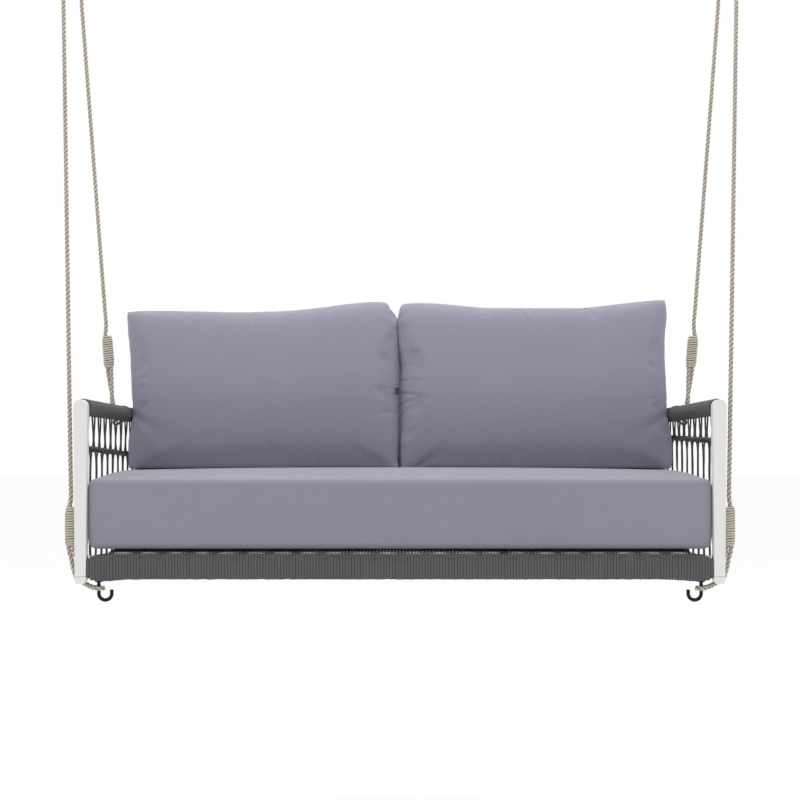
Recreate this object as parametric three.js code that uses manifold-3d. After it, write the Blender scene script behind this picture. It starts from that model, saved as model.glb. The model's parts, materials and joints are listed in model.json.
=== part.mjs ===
// A two-seat porch swing: a rope-wrapped frame with woven sides, seat and back, three loose
// cushions, and four ropes that hang it from two ceiling plates.
// Millimetres, +Z up, +X to the right as seen from the front, +Y towards the backrest.
// The seat is laid out from the foot of its front posts, and the whole group is then moved so that
// the origin is in the ceiling plane, midway between the two plates and over the hinge line.
import * as THREE from "three";
import { mergeVertices } from "three/addons/utils/BufferGeometryUtils.js";
import Module from "manifold-3d";

const wasm = await Module();
wasm.setup();

// ---- Driving dimensions -------------------------------------------------------------------------
const GAP = 0.3; // left between pieces that touch

const SIDE_X = 807; // middle of each side frame
const CEILING_Z = 1950; // ceiling plane above the feet
const PIVOT_Y = 463.5; // hinge line behind the front of the posts, over the centre of mass
const PIVOT_Z = 1890; // hinge line above the feet

const POST_TOP_WIDTH = 35;
const POST_FOOT_WIDTH = 28.5;
const POST_DEPTH = 26;
const POST_HEIGHT = 466;
const POST_EDGE = 2.5; // rounding of the posts' long edges
const FOOT_HEIGHT = 17.6;
const FOOT_TIP_WIDTH = 20;

const WALL = 3; // of the frame's tubes
const ARM_Z = 447.5;
const ARM_LENGTH = 714;
const ARM_TUBE_R = 17;
const ARM_WRAP_R = 21.5;
const SLEEVE_GAP = 0.6; // between a round tube and the rope wrapped round it

const REAR_POST_Y = 702; // at floor level
const REAR_POST_WIDTH = 28;
const REAR_POST_DEPTH = 24;
const REAR_POST_HEIGHT = 758; // along the post
const BACK_LEAN = Math.atan(0.12); // the backrest leans back by about 7 degrees
const BACK_RAIL_UP = 741; // along the post
const BACK_RAIL_R = 13;
const BACK_WRAP_R = 17.5;

const RAIL_HALF = 789; // half length of the rails between the posts
const RAIL_BOTTOM = 11;
const RAIL_TOP = 78;
const RAIL_FRONT = 0.5;
const RAIL_DEPTH = 39;
const WRAP = 7.5; // thickness of the rope wrapped on the front rail
const SIDE_RAIL_BOTTOM = 15;
const SIDE_RAIL_TOP = 55;
const SIDE_RAIL_WIDTH = 20;
const SIDE_RAIL_END = 691.3; // just in front of the rear post
const REAR_RAIL_Y = 690;
const REAR_RAIL_DEPTH = 22;
const REAR_RAIL_BOTTOM = 28;
const CROSS_BAR_X = 265;
const CROSS_BAR_WIDTH = 20;
const CROSS_BAR_BOTTOM = 38;

const WEAVE_BAND = 24; // width of the woven bands between the openings
const WEAVE = 6; // thickness of the woven seat and back
const SEAT_WEAVE_HALF = 740;
const SEAT_WEAVE_FRONT = 3;
const SEAT_WEAVE_DEPTH = 700;
const SEAT_WEAVE_OPENINGS = [11, 4];
const SIDE_WEAVE = 11;
const SIDE_WEAVE_FRONT = 32;
const SIDE_WEAVE_DEPTH = 658; // at its foot; its rear edge leans back
const SIDE_WEAVE_LEAN = 40;
const SIDE_WEAVE_OPENINGS = [9, 3];
const BACK_WEAVE_LOW = 83; // along the rear posts
const BACK_WEAVE_OPENINGS = [12, 4];

const SEAT_HALF = 782.5;
const SEAT_FRONT = 5;
const SEAT_BACK = 695;
const SEAT_BOTTOM = 86;
const SEAT_TOP = 284;
const SEAT_EDGE = 22; // rounding of the seat cushion
const BACK_CUSHION_INNER = 3;
const BACK_CUSHION_TOP = 776;
const BACK_CUSHION_EDGE = 30;

const ROPE_R = 6;
const PAIR = 6.2; // each strand of a doubled rope stands this far from the pair's middle
const SEIZING_WIDTH = 32.5;
const SEIZING_THICKNESS = 20.5;
const LEAN_POINT = new THREE.Vector3(972, 440, 2460); // both ropes of one side lean towards it
const FRONT_ROPE_FOOT = new THREE.Vector3(840, 43, 200);
const REAR_ROPE_FOOT = new THREE.Vector3(837.5, 525.5, ARM_Z);

const HOOK_X = 763.9; // shank of the hook under the front rail
const HOOK_R = 4.6;
const HOOK_BEND = 16.4;
const HOOK_MIDDLE_Z = -26;
const HOOK_Y = 20;
const HOOK_ROPE_Z = -12.5;
const HOOK_LOOP = 11;
const HOOK_TIP_Z = -16;
const NUT_R = 9.8;
const NUT_HEIGHT = 7;
const NUT_BOTTOM = 3.6;

const HOOK_BAND = 2.3; // how far the band round the arm stands out from its wrapping
const HOOK_BAND_WIDTH = 20;
const PEG_R = 5;
const PEG_IN = 23; // from the arm's axis to where the peg starts, inside the band
const PEG_OUT = 37; // from the arm's axis to the peg's flange
const FLANGE_R = 9;
const FLANGE_THICKNESS = 3.5;
const PEG_LOOP = 11.3; // from the peg's axis to the middle of the rope round it

const YOKE_X = 930.6;
const YOKE_THICKNESS = 6;
const YOKE_CORNER_R = 22;
const YOKE_EYE_Z = 1815;
const YOKE_EYE_R = 10;
const YOKE_FRONT_Y = 324;
const YOKE_REAR_Y = 468;
const EYE_LOOP = 13; // half width of the rope loop through the yoke
const EYE_LOOP_Z = 1799.2;

const PIN_R = 6;
const PIN_HOLE_R = 6.5;
const LUG_THICKNESS = 6;
const LUG_FROM_YOKE = 2.5;
const LUG_R = 16;
const LUG_ROOT = 22; // half width where it meets the plate
const PIN_HEAD_R = 9;
const PIN_HEAD = 4;
const PLATE = { x: 110, y: 70, z: 6 };
const SCREW_X = 40; // from the middle of the plate
const SCREW_HOLE_R = 3.4;

// ---- Geometry helpers ---------------------------------------------------------------------------
const X = new THREE.Vector3(1, 0, 0);
const Y = new THREE.Vector3(0, 1, 0);
const Z = new THREE.Vector3(0, 0, 1);
const at = (x, y, z) => new THREE.Vector3(x, y, z);

function solidOf(geometry) {
  const bare = geometry.clone();
  bare.deleteAttribute("normal");
  bare.deleteAttribute("uv");
  const merged = mergeVertices(bare, 1e-4);
  const { Mesh, Manifold } = wasm;
  const mesh = new Mesh({
    numProp: 3,
    vertProperties: merged.attributes.position.array,
    triVerts: new Uint32Array(merged.index.array),
  });
  return new Manifold(mesh);
}

function geometryOf(solid) {
  const mesh = solid.getMesh();
  const geometry = new THREE.BufferGeometry();
  geometry.setAttribute("position", new THREE.BufferAttribute(mesh.vertProperties, 3));
  geometry.setIndex(new THREE.BufferAttribute(mesh.triVerts, 1));
  geometry.computeVertexNormals();
  return geometry;
}

const join = (...pieces) => geometryOf(pieces.map(solidOf).reduce((all, one) => all.add(one)));
const cut = (piece, hole) => geometryOf(solidOf(piece).subtract(solidOf(hole)));

// A box from its lowest to its highest corner.
function box(low, high) {
  const size = high.map((h, i) => h - low[i]);
  const middle = high.map((h, i) => (h + low[i]) / 2);
  return new THREE.BoxGeometry(...size).translate(...middle);
}

// A rectangular tube from its lowest to its highest corner, open at both ends of one axis.
function tube(low, high, axis) {
  const inwards = (i) => (i === axis ? -1 : WALL);
  const hole = box(low.map((v, i) => v + inwards(i)), high.map((v, i) => v - inwards(i)));
  return cut(box(low, high), hole);
}

// A shape drawn in (y, z), extruded along +X from x0.
function alongX(shape, x0, length, options = {}) {
  const geometry = new THREE.ExtrudeGeometry(shape, { depth: length, bevelEnabled: false, ...options });
  return intoYZ(geometry).translate(x0, 0, 0);
}

// A shape drawn in (x, z), extruded along +Y from y0.
function alongY(shape, y0, length, options = {}) {
  const geometry = new THREE.ExtrudeGeometry(shape, { depth: length, bevelEnabled: false, ...options });
  return intoXZ(geometry).translate(0, y0 + length, 0);
}

// The bevel that rounds the edges of an extrusion whose shape is drawn smaller by the same amount.
const rounded = (edge, segments = 2) => ({
  bevelEnabled: true,
  bevelThickness: edge,
  bevelSize: edge,
  bevelSegments: segments,
});

// A closed outline with an arc of one radius round each of the given centres, anticlockwise.
function outlineRound(centres, radius) {
  const shape = new THREE.Shape();
  centres.forEach((here, i) => {
    const before = centres[(i + centres.length - 1) % centres.length];
    const after = centres[(i + 1) % centres.length];
    const from = Math.atan2(here[1] - before[1], here[0] - before[0]) - Math.PI / 2;
    let to = Math.atan2(after[1] - here[1], after[0] - here[0]) - Math.PI / 2;
    while (to < from) to += 2 * Math.PI;
    shape.absarc(here[0], here[1], radius, from, to, false);
  });
  return shape;
}

function rectangle(x0, x1, z0, z1, corner) {
  const c = corner;
  return outlineRound([[x0 + c, z0 + c], [x1 - c, z0 + c], [x1 - c, z1 - c], [x0 + c, z1 - c]], c);
}

const circle = (x, y, radius) => new THREE.Path().absarc(x, y, radius, 0, 2 * Math.PI, true);

// A round bar or wrapping along +Y, hollow when it has an inner radius.
function ring(inner, outer, length, segments) {
  const profile = [[inner, 0], [outer, 0], [outer, length], [inner, length]];
  if (inner > 0) profile.push([inner, 0]);
  const points = profile.map(([r, y]) => new THREE.Vector2(r, y));
  return new THREE.LatheGeometry(points, segments);
}

// A flat lattice in (x, y), thick along z: a sheet with rows and columns of openings between its
// bands. Its far edge may lean outwards by slant.
function lattice(width, height, thickness, [columns, rows], slant = 0) {
  const outline = new THREE.Shape();
  outline.moveTo(0, 0).lineTo(width, 0).lineTo(width + slant, height).lineTo(0, height).lineTo(0, 0);
  let sheet = solidOf(new THREE.ExtrudeGeometry(outline, { depth: thickness, bevelEnabled: false }));
  const [u, v] = [(width - WEAVE_BAND) / columns, (height - WEAVE_BAND) / rows];
  for (let i = 0; i < columns; i++)
    for (let j = 0; j < rows; j++) {
      const [x, y] = [WEAVE_BAND + i * u, WEAVE_BAND + j * v];
      const opening = box([x, y, -1], [x + u - WEAVE_BAND, y + v - WEAVE_BAND, thickness + 1]);
      sheet = sheet.subtract(solidOf(opening));
    }
  return geometryOf(sheet);
}

// Stands a piece drawn in (x, y) up: in the plane of y and z, or of x and z.
const intoYZ = (geometry) => geometry.applyMatrix4(new THREE.Matrix4().makeBasis(Y, Z, X));
const intoXZ = (geometry) => geometry.rotateX(Math.PI / 2);

// A route whose stations are its own points, so that its bends keep their steps.
class Route extends THREE.CatmullRomCurve3 {
  getUtoTmapping(u) {
    return u;
  }
}

function roundBar(points, radius, sides = 8) {
  const section = new THREE.Shape();
  section.absarc(0, 0, radius, 0, 2 * Math.PI, false);
  return new THREE.ExtrudeGeometry(section, {
    curveSegments: sides / 2, // three.js gives a full turn twice this many
    steps: points.length - 1,
    extrudePath: new Route(points),
  });
}

// Points on an arc in the plane of the unit vectors a and b.
function arc(middle, radius, a, b, from, to, steps) {
  return Array.from({ length: steps + 1 }, (_, i) => {
    const angle = THREE.MathUtils.degToRad(from + ((to - from) * i) / steps);
    return middle
      .clone()
      .addScaledVector(a, radius * Math.cos(angle))
      .addScaledVector(b, radius * Math.sin(angle));
  });
}

// ---- Finishes -----------------------------------------------------------------------------------
const FINISHES = {
  white: { color: 0xe0e0de, roughness: 0.45, metalness: 0.1 },
  bareTube: { color: 0x9a9c9e, roughness: 0.5, metalness: 0.8 },
  darkRope: { color: 0x59595b, roughness: 0.9, metalness: 0 },
  tanRope: { color: 0xb5aa9c, roughness: 0.95, metalness: 0 },
  blackSteel: { color: 0x151517, roughness: 0.4, metalness: 0.6 },
  cushion: { color: 0x84839a, roughness: 0.95, metalness: 0 },
  zip: { color: 0x2b2a33, roughness: 0.6, metalness: 0.2 },
};

function add(group, name, geometry, finish) {
  const mesh = new THREE.Mesh(geometry, new THREE.MeshStandardMaterial(FINISHES[finish]));
  mesh.name = name;
  group.add(mesh);
  return mesh;
}

// ---- Front posts and feet -----------------------------------------------------------------------
function postOutline(footWidth, topWidth, low, high) {
  const [foot, top] = [footWidth / 2 - POST_EDGE, topWidth / 2 - POST_EDGE];
  const shape = new THREE.Shape();
  shape.moveTo(-foot, low + POST_EDGE).lineTo(foot, low + POST_EDGE);
  shape.absarc(0, high - POST_EDGE - top, top, 0, Math.PI, false);
  shape.lineTo(-foot, low + POST_EDGE);
  return shape;
}

function frontPost() {
  const shape = postOutline(POST_FOOT_WIDTH, POST_TOP_WIDTH, FOOT_HEIGHT + GAP, POST_HEIGHT);
  return alongY(shape, POST_EDGE, POST_DEPTH - 2 * POST_EDGE, { curveSegments: 5, ...rounded(POST_EDGE) });
}

function foot(width, depth) {
  const [tip, top, edge] = [FOOT_TIP_WIDTH / 2 - 1, width / 2 - 1, 1];
  const shape = new THREE.Shape();
  shape.moveTo(-tip, edge).lineTo(tip, edge).lineTo(top, FOOT_HEIGHT / 2);
  shape.lineTo(top, FOOT_HEIGHT - edge).lineTo(-top, FOOT_HEIGHT - edge);
  shape.lineTo(-top, FOOT_HEIGHT / 2).lineTo(-tip, edge);
  return alongY(shape, edge, depth - 2 * edge, rounded(edge, 1));
}

// ---- Arms ---------------------------------------------------------------------------------------
const ARM_START = POST_DEPTH + GAP;

const armTube = () => ring(ARM_TUBE_R - WALL, ARM_TUBE_R, ARM_LENGTH, 16);
const armWrap = () => ring(ARM_TUBE_R + SLEEVE_GAP, ARM_WRAP_R, ARM_LENGTH, 24);

// A band round the arm with a flanged peg on its outer side, which the rear rope loops under.
function armHook() {
  const band = ring(ARM_WRAP_R + GAP + 0.1, ARM_WRAP_R + HOOK_BAND, HOOK_BAND_WIDTH, 24);
  const peg = new THREE.CylinderGeometry(PEG_R, PEG_R, PEG_OUT - PEG_IN, 12).rotateZ(Math.PI / 2);
  const flange = new THREE.CylinderGeometry(FLANGE_R, FLANGE_R, FLANGE_THICKNESS, 16).rotateZ(Math.PI / 2);
  return join(
    band.translate(0, -HOOK_BAND_WIDTH / 2, 0),
    peg.translate((PEG_OUT + PEG_IN) / 2, 0, 0),
    flange.translate(PEG_OUT + FLANGE_THICKNESS / 2, 0, 0),
  );
}

// ---- Seat frame ---------------------------------------------------------------------------------
const railTube = () => {
  const inset = WRAP + GAP;
  return tube(
    [-RAIL_HALF, RAIL_FRONT + inset, RAIL_BOTTOM + inset],
    [RAIL_HALF, RAIL_FRONT + RAIL_DEPTH - inset, RAIL_TOP - inset],
    0,
  );
};

function railWrap() {
  const outer = rectangle(RAIL_FRONT, RAIL_FRONT + RAIL_DEPTH, RAIL_BOTTOM, RAIL_TOP, 12);
  const hole = rectangle(
    RAIL_FRONT + WRAP,
    RAIL_FRONT + RAIL_DEPTH - WRAP,
    RAIL_BOTTOM + WRAP,
    RAIL_TOP - WRAP,
    0.1,
  );
  outer.holes.push(new THREE.Path(hole.getPoints(1).reverse()));
  return alongX(outer, -RAIL_HALF, 2 * RAIL_HALF, { curveSegments: 4 });
}

function sideRail() {
  const half = SIDE_RAIL_WIDTH / 2;
  return tube([-half, POST_DEPTH + GAP, SIDE_RAIL_BOTTOM], [half, SIDE_RAIL_END, SIDE_RAIL_TOP], 1);
}

function rearRail() {
  const [low, high] = [REAR_RAIL_Y, REAR_RAIL_Y + REAR_RAIL_DEPTH];
  return tube([-RAIL_HALF, low, REAR_RAIL_BOTTOM], [RAIL_HALF, high, RAIL_TOP], 0);
}

function crossBar() {
  const half = CROSS_BAR_WIDTH / 2;
  const front = RAIL_FRONT + RAIL_DEPTH + GAP;
  return tube([-half, front, CROSS_BAR_BOTTOM], [half, REAR_RAIL_Y - GAP, RAIL_TOP], 1);
}

function seatWeave() {
  const sheet = lattice(2 * SEAT_WEAVE_HALF, SEAT_WEAVE_DEPTH, WEAVE, SEAT_WEAVE_OPENINGS);
  return sheet.translate(-SEAT_WEAVE_HALF, SEAT_WEAVE_FRONT, RAIL_TOP + GAP);
}

// ---- Sides and back -----------------------------------------------------------------------------
function sideWeave() {
  const [low, high] = [SIDE_RAIL_TOP + GAP, ARM_Z - ARM_WRAP_R - HOOK_BAND - GAP];
  const sheet = lattice(SIDE_WEAVE_DEPTH, high - low, SIDE_WEAVE, SIDE_WEAVE_OPENINGS, SIDE_WEAVE_LEAN);
  return intoYZ(sheet).translate(-SIDE_WEAVE / 2, SIDE_WEAVE_FRONT, low);
}

function backWeave() {
  const [half, high] = [RAIL_HALF - 1, BACK_RAIL_UP - BACK_WRAP_R - GAP];
  const sheet = lattice(2 * half, high - BACK_WEAVE_LOW, WEAVE, BACK_WEAVE_OPENINGS);
  return intoXZ(sheet).translate(-half, WEAVE / 2, BACK_WEAVE_LOW);
}

function rearPost() {
  const shape = postOutline(REAR_POST_WIDTH, REAR_POST_WIDTH, FOOT_HEIGHT + GAP, REAR_POST_HEIGHT);
  const options = { curveSegments: 5, ...rounded(POST_EDGE) };
  return alongY(shape, POST_EDGE - REAR_POST_DEPTH / 2, REAR_POST_DEPTH - 2 * POST_EDGE, options);
}

const backRail = () => ring(BACK_RAIL_R - WALL, BACK_RAIL_R, 2 * RAIL_HALF, 12).rotateZ(-Math.PI / 2);

function backWrap() {
  return ring(BACK_RAIL_R + SLEEVE_GAP, BACK_WRAP_R, 2 * RAIL_HALF, 16).rotateZ(-Math.PI / 2);
}

// ---- Cushions -----------------------------------------------------------------------------------
function seatCushion() {
  const edge = SEAT_EDGE;
  const shape = rectangle(-SEAT_HALF + edge, SEAT_HALF - edge, SEAT_FRONT + edge, SEAT_BACK - edge, 6);
  const depth = SEAT_TOP - SEAT_BOTTOM - 2 * edge;
  const options = { depth, curveSegments: 3, ...rounded(edge, 3) };
  return new THREE.ExtrudeGeometry(shape, options).translate(0, 0, SEAT_BOTTOM + edge);
}

// Its side outline: flat where it stands on the seat, leaning along the back, and full in front.
function backCushion() {
  const edge = BACK_CUSHION_EDGE;
  const low = SEAT_TOP + GAP + 1;
  const back = (z) => REAR_POST_Y - 22 + z * Math.tan(BACK_LEAN);
  const corners = [
    [535, low + edge],
    [back(low) - edge, low + edge],
    [back(BACK_CUSHION_TOP) - edge - 2, BACK_CUSHION_TOP - edge],
    [655, BACK_CUSHION_TOP - edge],
    [565, 620],
    [530, 430],
  ];
  const shape = outlineRound(corners, 2);
  const width = SEAT_HALF - BACK_CUSHION_INNER - 2 * edge;
  return alongX(shape, BACK_CUSHION_INNER + edge, width, { curveSegments: 2, ...rounded(edge - 2, 3) });
}

// The tab of the left cushion's zip, in the cleft between the two back cushions.
const zipPull = () => box([-2.6, 556, 505], [-0.4, 566, 524]);

// ---- Ropes --------------------------------------------------------------------------------------
// The point at a given height on the straight line from a rope's foot to its lean point.
function onRope(foot, z) {
  return foot.clone().lerp(LEAN_POINT, (z - foot.z) / (LEAN_POINT.z - foot.z));
}

// The doubled end at the top: up through the yoke's eye, over, and back down into the seizing.
function topLoop(foot, eyeY) {
  const tail = (z) => onRope(foot, z).addScaledVector(X, -PAIR);
  const main = (z) => onRope(foot, z).addScaledVector(X, PAIR);
  return [
    tail(1690),
    tail(1725),
    tail(1762),
    at(YOKE_X - 10.5, eyeY - 2, 1781),
    ...arc(at(YOKE_X, eyeY, EYE_LOOP_Z), EYE_LOOP, X, Z, 180, 0, 6),
    at(YOKE_X + 10.5, eyeY - 2, 1781),
    main(1762),
    main(1725),
    main(1685),
    onRope(foot, 1655),
    onRope(foot, 1600),
  ];
}

// From the ceiling end down to the hook under the front rail, round it and back up into the seizing.
function frontRope() {
  return [
    ...topLoop(FRONT_ROPE_FOOT, YOKE_FRONT_Y),
    onRope(FRONT_ROPE_FOOT, 1000),
    onRope(FRONT_ROPE_FOOT, 300),
    onRope(FRONT_ROPE_FOOT, 245),
    at(840.7, 43.1, 214),
    at(842.7, 43, 200),
    at(845.2, 43, 184),
    at(840 + PAIR, 43, 160),
    at(840 + PAIR, 43, 120),
    at(840 + PAIR, 43, 92),
    at(845.4, 43, 82),
    at(840.5, 43, 64),
    at(833.5, 42.5, 32),
    at(824, 41, 9),
    at(808, 37, 0),
    at(788, 22, -8),
    ...arc(at(HOOK_X, HOOK_Y, HOOK_ROPE_Z), HOOK_LOOP, X, Y, -70, -290, 7),
    at(788, 36, -9),
    at(806, 50, -2),
    at(822, 55, 8),
    at(825.5, 54.5, 30),
    at(827.5, 50, 58),
    at(832.5, 44.5, 78),
    at(840 - PAIR, 43, 92),
    at(840 - PAIR, 43, 130),
    at(840 - PAIR, 43, 172),
  ];
}

// From the ceiling end down to the peg on the arm, under it and back up into the seizing.
function rearRope() {
  const aside = at(0.97, 0.26, 0).multiplyScalar(PAIR);
  const line = (z) => onRope(REAR_ROPE_FOOT, z);
  const [x, y, z] = REAR_ROPE_FOOT.toArray();
  return [
    ...topLoop(REAR_ROPE_FOOT, YOKE_REAR_Y),
    line(1100),
    line(760),
    line(702),
    line(668).add(aside),
    line(630).add(aside),
    line(585).add(aside),
    at(846, 529, 530),
    at(839, y + PEG_LOOP, 480),
    ...arc(at(x, y, z), PEG_LOOP, Y, Z, 0, -180, 6),
    at(838, y - PEG_LOOP, 480),
    at(838, 515.5, 530),
    line(585).sub(aside),
    line(630).sub(aside),
    line(660).sub(aside),
  ];
}

// A seizing: a cord wound round the doubled rope, as a sleeve along the line from low to high.
function seizing(low, high, across) {
  const stadium = (width, thickness) => {
    const half = (width - thickness) / 2;
    return outlineRound([[-half, 0], [half, 0]], thickness / 2);
  };
  const shape = stadium(SEIZING_WIDTH, SEIZING_THICKNESS);
  shape.holes.push(new THREE.Path(stadium(27, 14.2).getPoints(3).reverse()));
  const length = low.distanceTo(high);
  const sleeve = new THREE.ExtrudeGeometry(shape, { depth: length, bevelEnabled: false, curveSegments: 3 });
  const along = high.clone().sub(low).normalize();
  const thick = along.clone().cross(across).normalize();
  const wide = thick.clone().cross(along);
  return sleeve.applyMatrix4(new THREE.Matrix4().makeBasis(wide, thick, along).setPosition(low));
}

// The hook under the front rail: down from its nut, round and up again on the inboard side.
function railHook() {
  const middle = at(HOOK_X - HOOK_BEND, HOOK_Y, HOOK_MIDDLE_Z);
  const bend = arc(middle, HOOK_BEND, X, Z, 0, -180, 10);
  const tip = at(HOOK_X - 2 * HOOK_BEND, HOOK_Y, HOOK_TIP_Z);
  return roundBar([at(HOOK_X, HOOK_Y, 10.4), at(HOOK_X, HOOK_Y, -10), ...bend, tip], HOOK_R, 10);
}

function hookNut() {
  const shape = new THREE.Shape();
  for (let i = 0; i < 6; i++) {
    const angle = (i * Math.PI) / 3;
    const corner = [NUT_R * Math.cos(angle), NUT_R * Math.sin(angle)];
    if (i === 0) shape.moveTo(...corner);
    else shape.lineTo(...corner);
  }
  shape.holes.push(circle(0, 0, HOOK_R + 0.5));
  const nut = new THREE.ExtrudeGeometry(shape, { depth: NUT_HEIGHT, bevelEnabled: false, curveSegments: 5 });
  return nut.translate(HOOK_X, HOOK_Y, NUT_BOTTOM);
}

// ---- Ceiling fittings ---------------------------------------------------------------------------
function yoke() {
  const eyes = [[YOKE_FRONT_Y, YOKE_EYE_Z], [YOKE_REAR_Y, YOKE_EYE_Z]];
  const shape = outlineRound([...eyes, [PIVOT_Y, PIVOT_Z]], YOKE_CORNER_R);
  eyes.forEach(([y, z]) => shape.holes.push(circle(y, z, YOKE_EYE_R)));
  shape.holes.push(circle(PIVOT_Y, PIVOT_Z, PIN_HOLE_R));
  return alongX(shape, YOKE_X - YOKE_THICKNESS / 2, YOKE_THICKNESS, { curveSegments: 6 });
}

function ceilingPlate() {
  const under = CEILING_Z - PLATE.z;
  const low = [YOKE_X - PLATE.x / 2, PIVOT_Y - PLATE.y / 2, under];
  const high = [YOKE_X + PLATE.x / 2, PIVOT_Y + PLATE.y / 2, CEILING_Z];
  const plate = box(low, high);
  const lug = (x0) => {
    const shape = new THREE.Shape();
    shape.absarc(PIVOT_Y, PIVOT_Z, LUG_R, Math.PI, 2 * Math.PI, false);
    shape.lineTo(PIVOT_Y + LUG_ROOT, under + 1).lineTo(PIVOT_Y - LUG_ROOT, under + 1);
    shape.lineTo(PIVOT_Y - LUG_R, PIVOT_Z);
    shape.holes.push(circle(PIVOT_Y, PIVOT_Z, PIN_HOLE_R));
    return alongX(shape, x0, LUG_THICKNESS, { curveSegments: 6 });
  };
  const near = YOKE_THICKNESS / 2 + LUG_FROM_YOKE;
  const holes = [-1, 1].map((side) => {
    const through = 4 * PLATE.z;
    const hole = new THREE.CylinderGeometry(SCREW_HOLE_R, SCREW_HOLE_R, through, 12).rotateX(Math.PI / 2);
    return solidOf(hole.translate(YOKE_X + side * SCREW_X, PIVOT_Y, CEILING_Z));
  });
  const lugs = [lug(YOKE_X + near), lug(YOKE_X - near - LUG_THICKNESS)];
  const whole = [plate, ...lugs].map(solidOf).reduce((all, one) => all.add(one));
  return geometryOf(holes.reduce((all, one) => all.subtract(one), whole));
}

// A clevis pin with a head at each end, outside the lugs.
function hangerPin() {
  const inner = YOKE_THICKNESS / 2 + LUG_FROM_YOKE + LUG_THICKNESS + GAP;
  const profile = [
    [0, -inner - PIN_HEAD],
    [PIN_HEAD_R, -inner - PIN_HEAD],
    [PIN_HEAD_R, -inner],
    [PIN_R, -inner],
    [PIN_R, inner],
    [PIN_HEAD_R, inner],
    [PIN_HEAD_R, inner + PIN_HEAD],
    [0, inner + PIN_HEAD],
  ];
  const points = profile.map(([r, x]) => new THREE.Vector2(r, x));
  return new THREE.LatheGeometry(points, 14).rotateZ(-Math.PI / 2);
}

// A round-headed screw from under the plate up to its top face.
function ceilingScrew() {
  const profile = [[0, -4.3], [4, -4.1], [7, -2], [7, -GAP], [3, -GAP], [3, PLATE.z - 0.5], [0, PLATE.z - 0.5]];
  return new THREE.LatheGeometry(profile.map(([r, z]) => new THREE.Vector2(r, z)), 8).rotateX(Math.PI / 2);
}

// ---- Assembly -----------------------------------------------------------------------------------
const seat = new THREE.Group(); // laid out from the foot of the front posts
seat.position.set(0, -PIVOT_Y, -CEILING_Z);

add(seat, "front_rail", railTube(), "bareTube");
add(seat, "front_rail_wrap", railWrap(), "darkRope");
add(seat, "rear_rail", rearRail(), "white");
add(seat, "seat_weave", seatWeave(), "darkRope");
add(seat, "seat_cushion", seatCushion(), "cushion");
add(seat, "zip_pull", zipPull(), "zip");

const back = new THREE.Group(); // leans with the rear posts
back.position.y = REAR_POST_Y;
back.rotation.x = -BACK_LEAN;
seat.add(back);
add(back, "back_rail", backRail(), "bareTube").position.set(-RAIL_HALF, 0, BACK_RAIL_UP);
add(back, "back_rail_wrap", backWrap(), "darkRope").position.set(-RAIL_HALF, 0, BACK_RAIL_UP);
add(back, "back_weave", backWeave(), "darkRope");

for (const [word, side] of [["left", -1], ["right", 1]]) {
  const half = new THREE.Group(); // one side, mirrored for the left
  half.scale.x = side;
  seat.add(half);

  const frame = new THREE.Group(); // the side frame, about its own middle plane
  frame.position.x = SIDE_X;
  half.add(frame);
  add(frame, `front_post_${word}`, frontPost(), "white");
  add(frame, `front_foot_${word}`, foot(POST_FOOT_WIDTH, POST_DEPTH), "white");
  add(frame, `arm_tube_${word}`, armTube(), "bareTube").position.set(0, ARM_START, ARM_Z);
  add(frame, `arm_wrap_${word}`, armWrap(), "darkRope").position.set(0, ARM_START, ARM_Z);
  add(frame, `arm_hook_${word}`, armHook(), "blackSteel").position.set(0, REAR_ROPE_FOOT.y, ARM_Z);
  add(frame, `side_rail_${word}`, sideRail(), "white");
  add(frame, `side_weave_${word}`, sideWeave(), "darkRope");

  const rear = new THREE.Group();
  rear.position.set(SIDE_X, REAR_POST_Y, 0);
  rear.rotation.x = -BACK_LEAN;
  half.add(rear);
  add(rear, `rear_post_${word}`, rearPost(), "white");
  const rearFoot = foot(REAR_POST_WIDTH, REAR_POST_DEPTH).translate(0, -REAR_POST_DEPTH / 2, 0);
  add(rear, `rear_foot_${word}`, rearFoot, "white");

  add(half, `seat_cross_bar_${word}`, crossBar(), "white").position.x = CROSS_BAR_X;
  add(half, `back_cushion_${word}`, backCushion(), "cushion");

  add(half, `rail_hook_${word}`, railHook(), "blackSteel");
  add(half, `hook_nut_${word}`, hookNut(), "blackSteel");

  add(half, `rope_front_${word}`, roundBar(frontRope(), ROPE_R), "tanRope");
  add(half, `rope_rear_${word}`, roundBar(rearRope(), ROPE_R), "tanRope");
  const seizings = [
    ["front_low", at(840, 43, 88), at(840, 43, 196), X],
    ["rear_low", onRope(REAR_ROPE_FOOT, 578), onRope(REAR_ROPE_FOOT, 676), at(0.97, 0.26, 0)],
    ["front_top", onRope(FRONT_ROPE_FOOT, 1668), onRope(FRONT_ROPE_FOOT, 1764), X],
    ["rear_top", onRope(REAR_ROPE_FOOT, 1668), onRope(REAR_ROPE_FOOT, 1764), X],
  ];
  for (const [place, low, high, across] of seizings)
    add(half, `seizing_${place}_${word}`, seizing(low, high, across), "tanRope");

  add(half, `yoke_${word}`, yoke(), "blackSteel");
  add(half, `ceiling_plate_${word}`, ceilingPlate(), "blackSteel");
  add(half, `hanger_pin_${word}`, hangerPin(), "blackSteel").position.set(YOKE_X, PIVOT_Y, PIVOT_Z);
  for (const [place, offset] of [["inner", -SCREW_X], ["outer", SCREW_X]]) {
    const screw = add(half, `ceiling_screw_${place}_${word}`, ceilingScrew(), "blackSteel");
    screw.position.set(YOKE_X + offset, PIVOT_Y, CEILING_Z - PLATE.z);
  }
}

const porchSwing = new THREE.Group();
porchSwing.add(seat);
export default porchSwing;
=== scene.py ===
"""The looks of the porch swing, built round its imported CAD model."""
import json
import math

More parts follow.
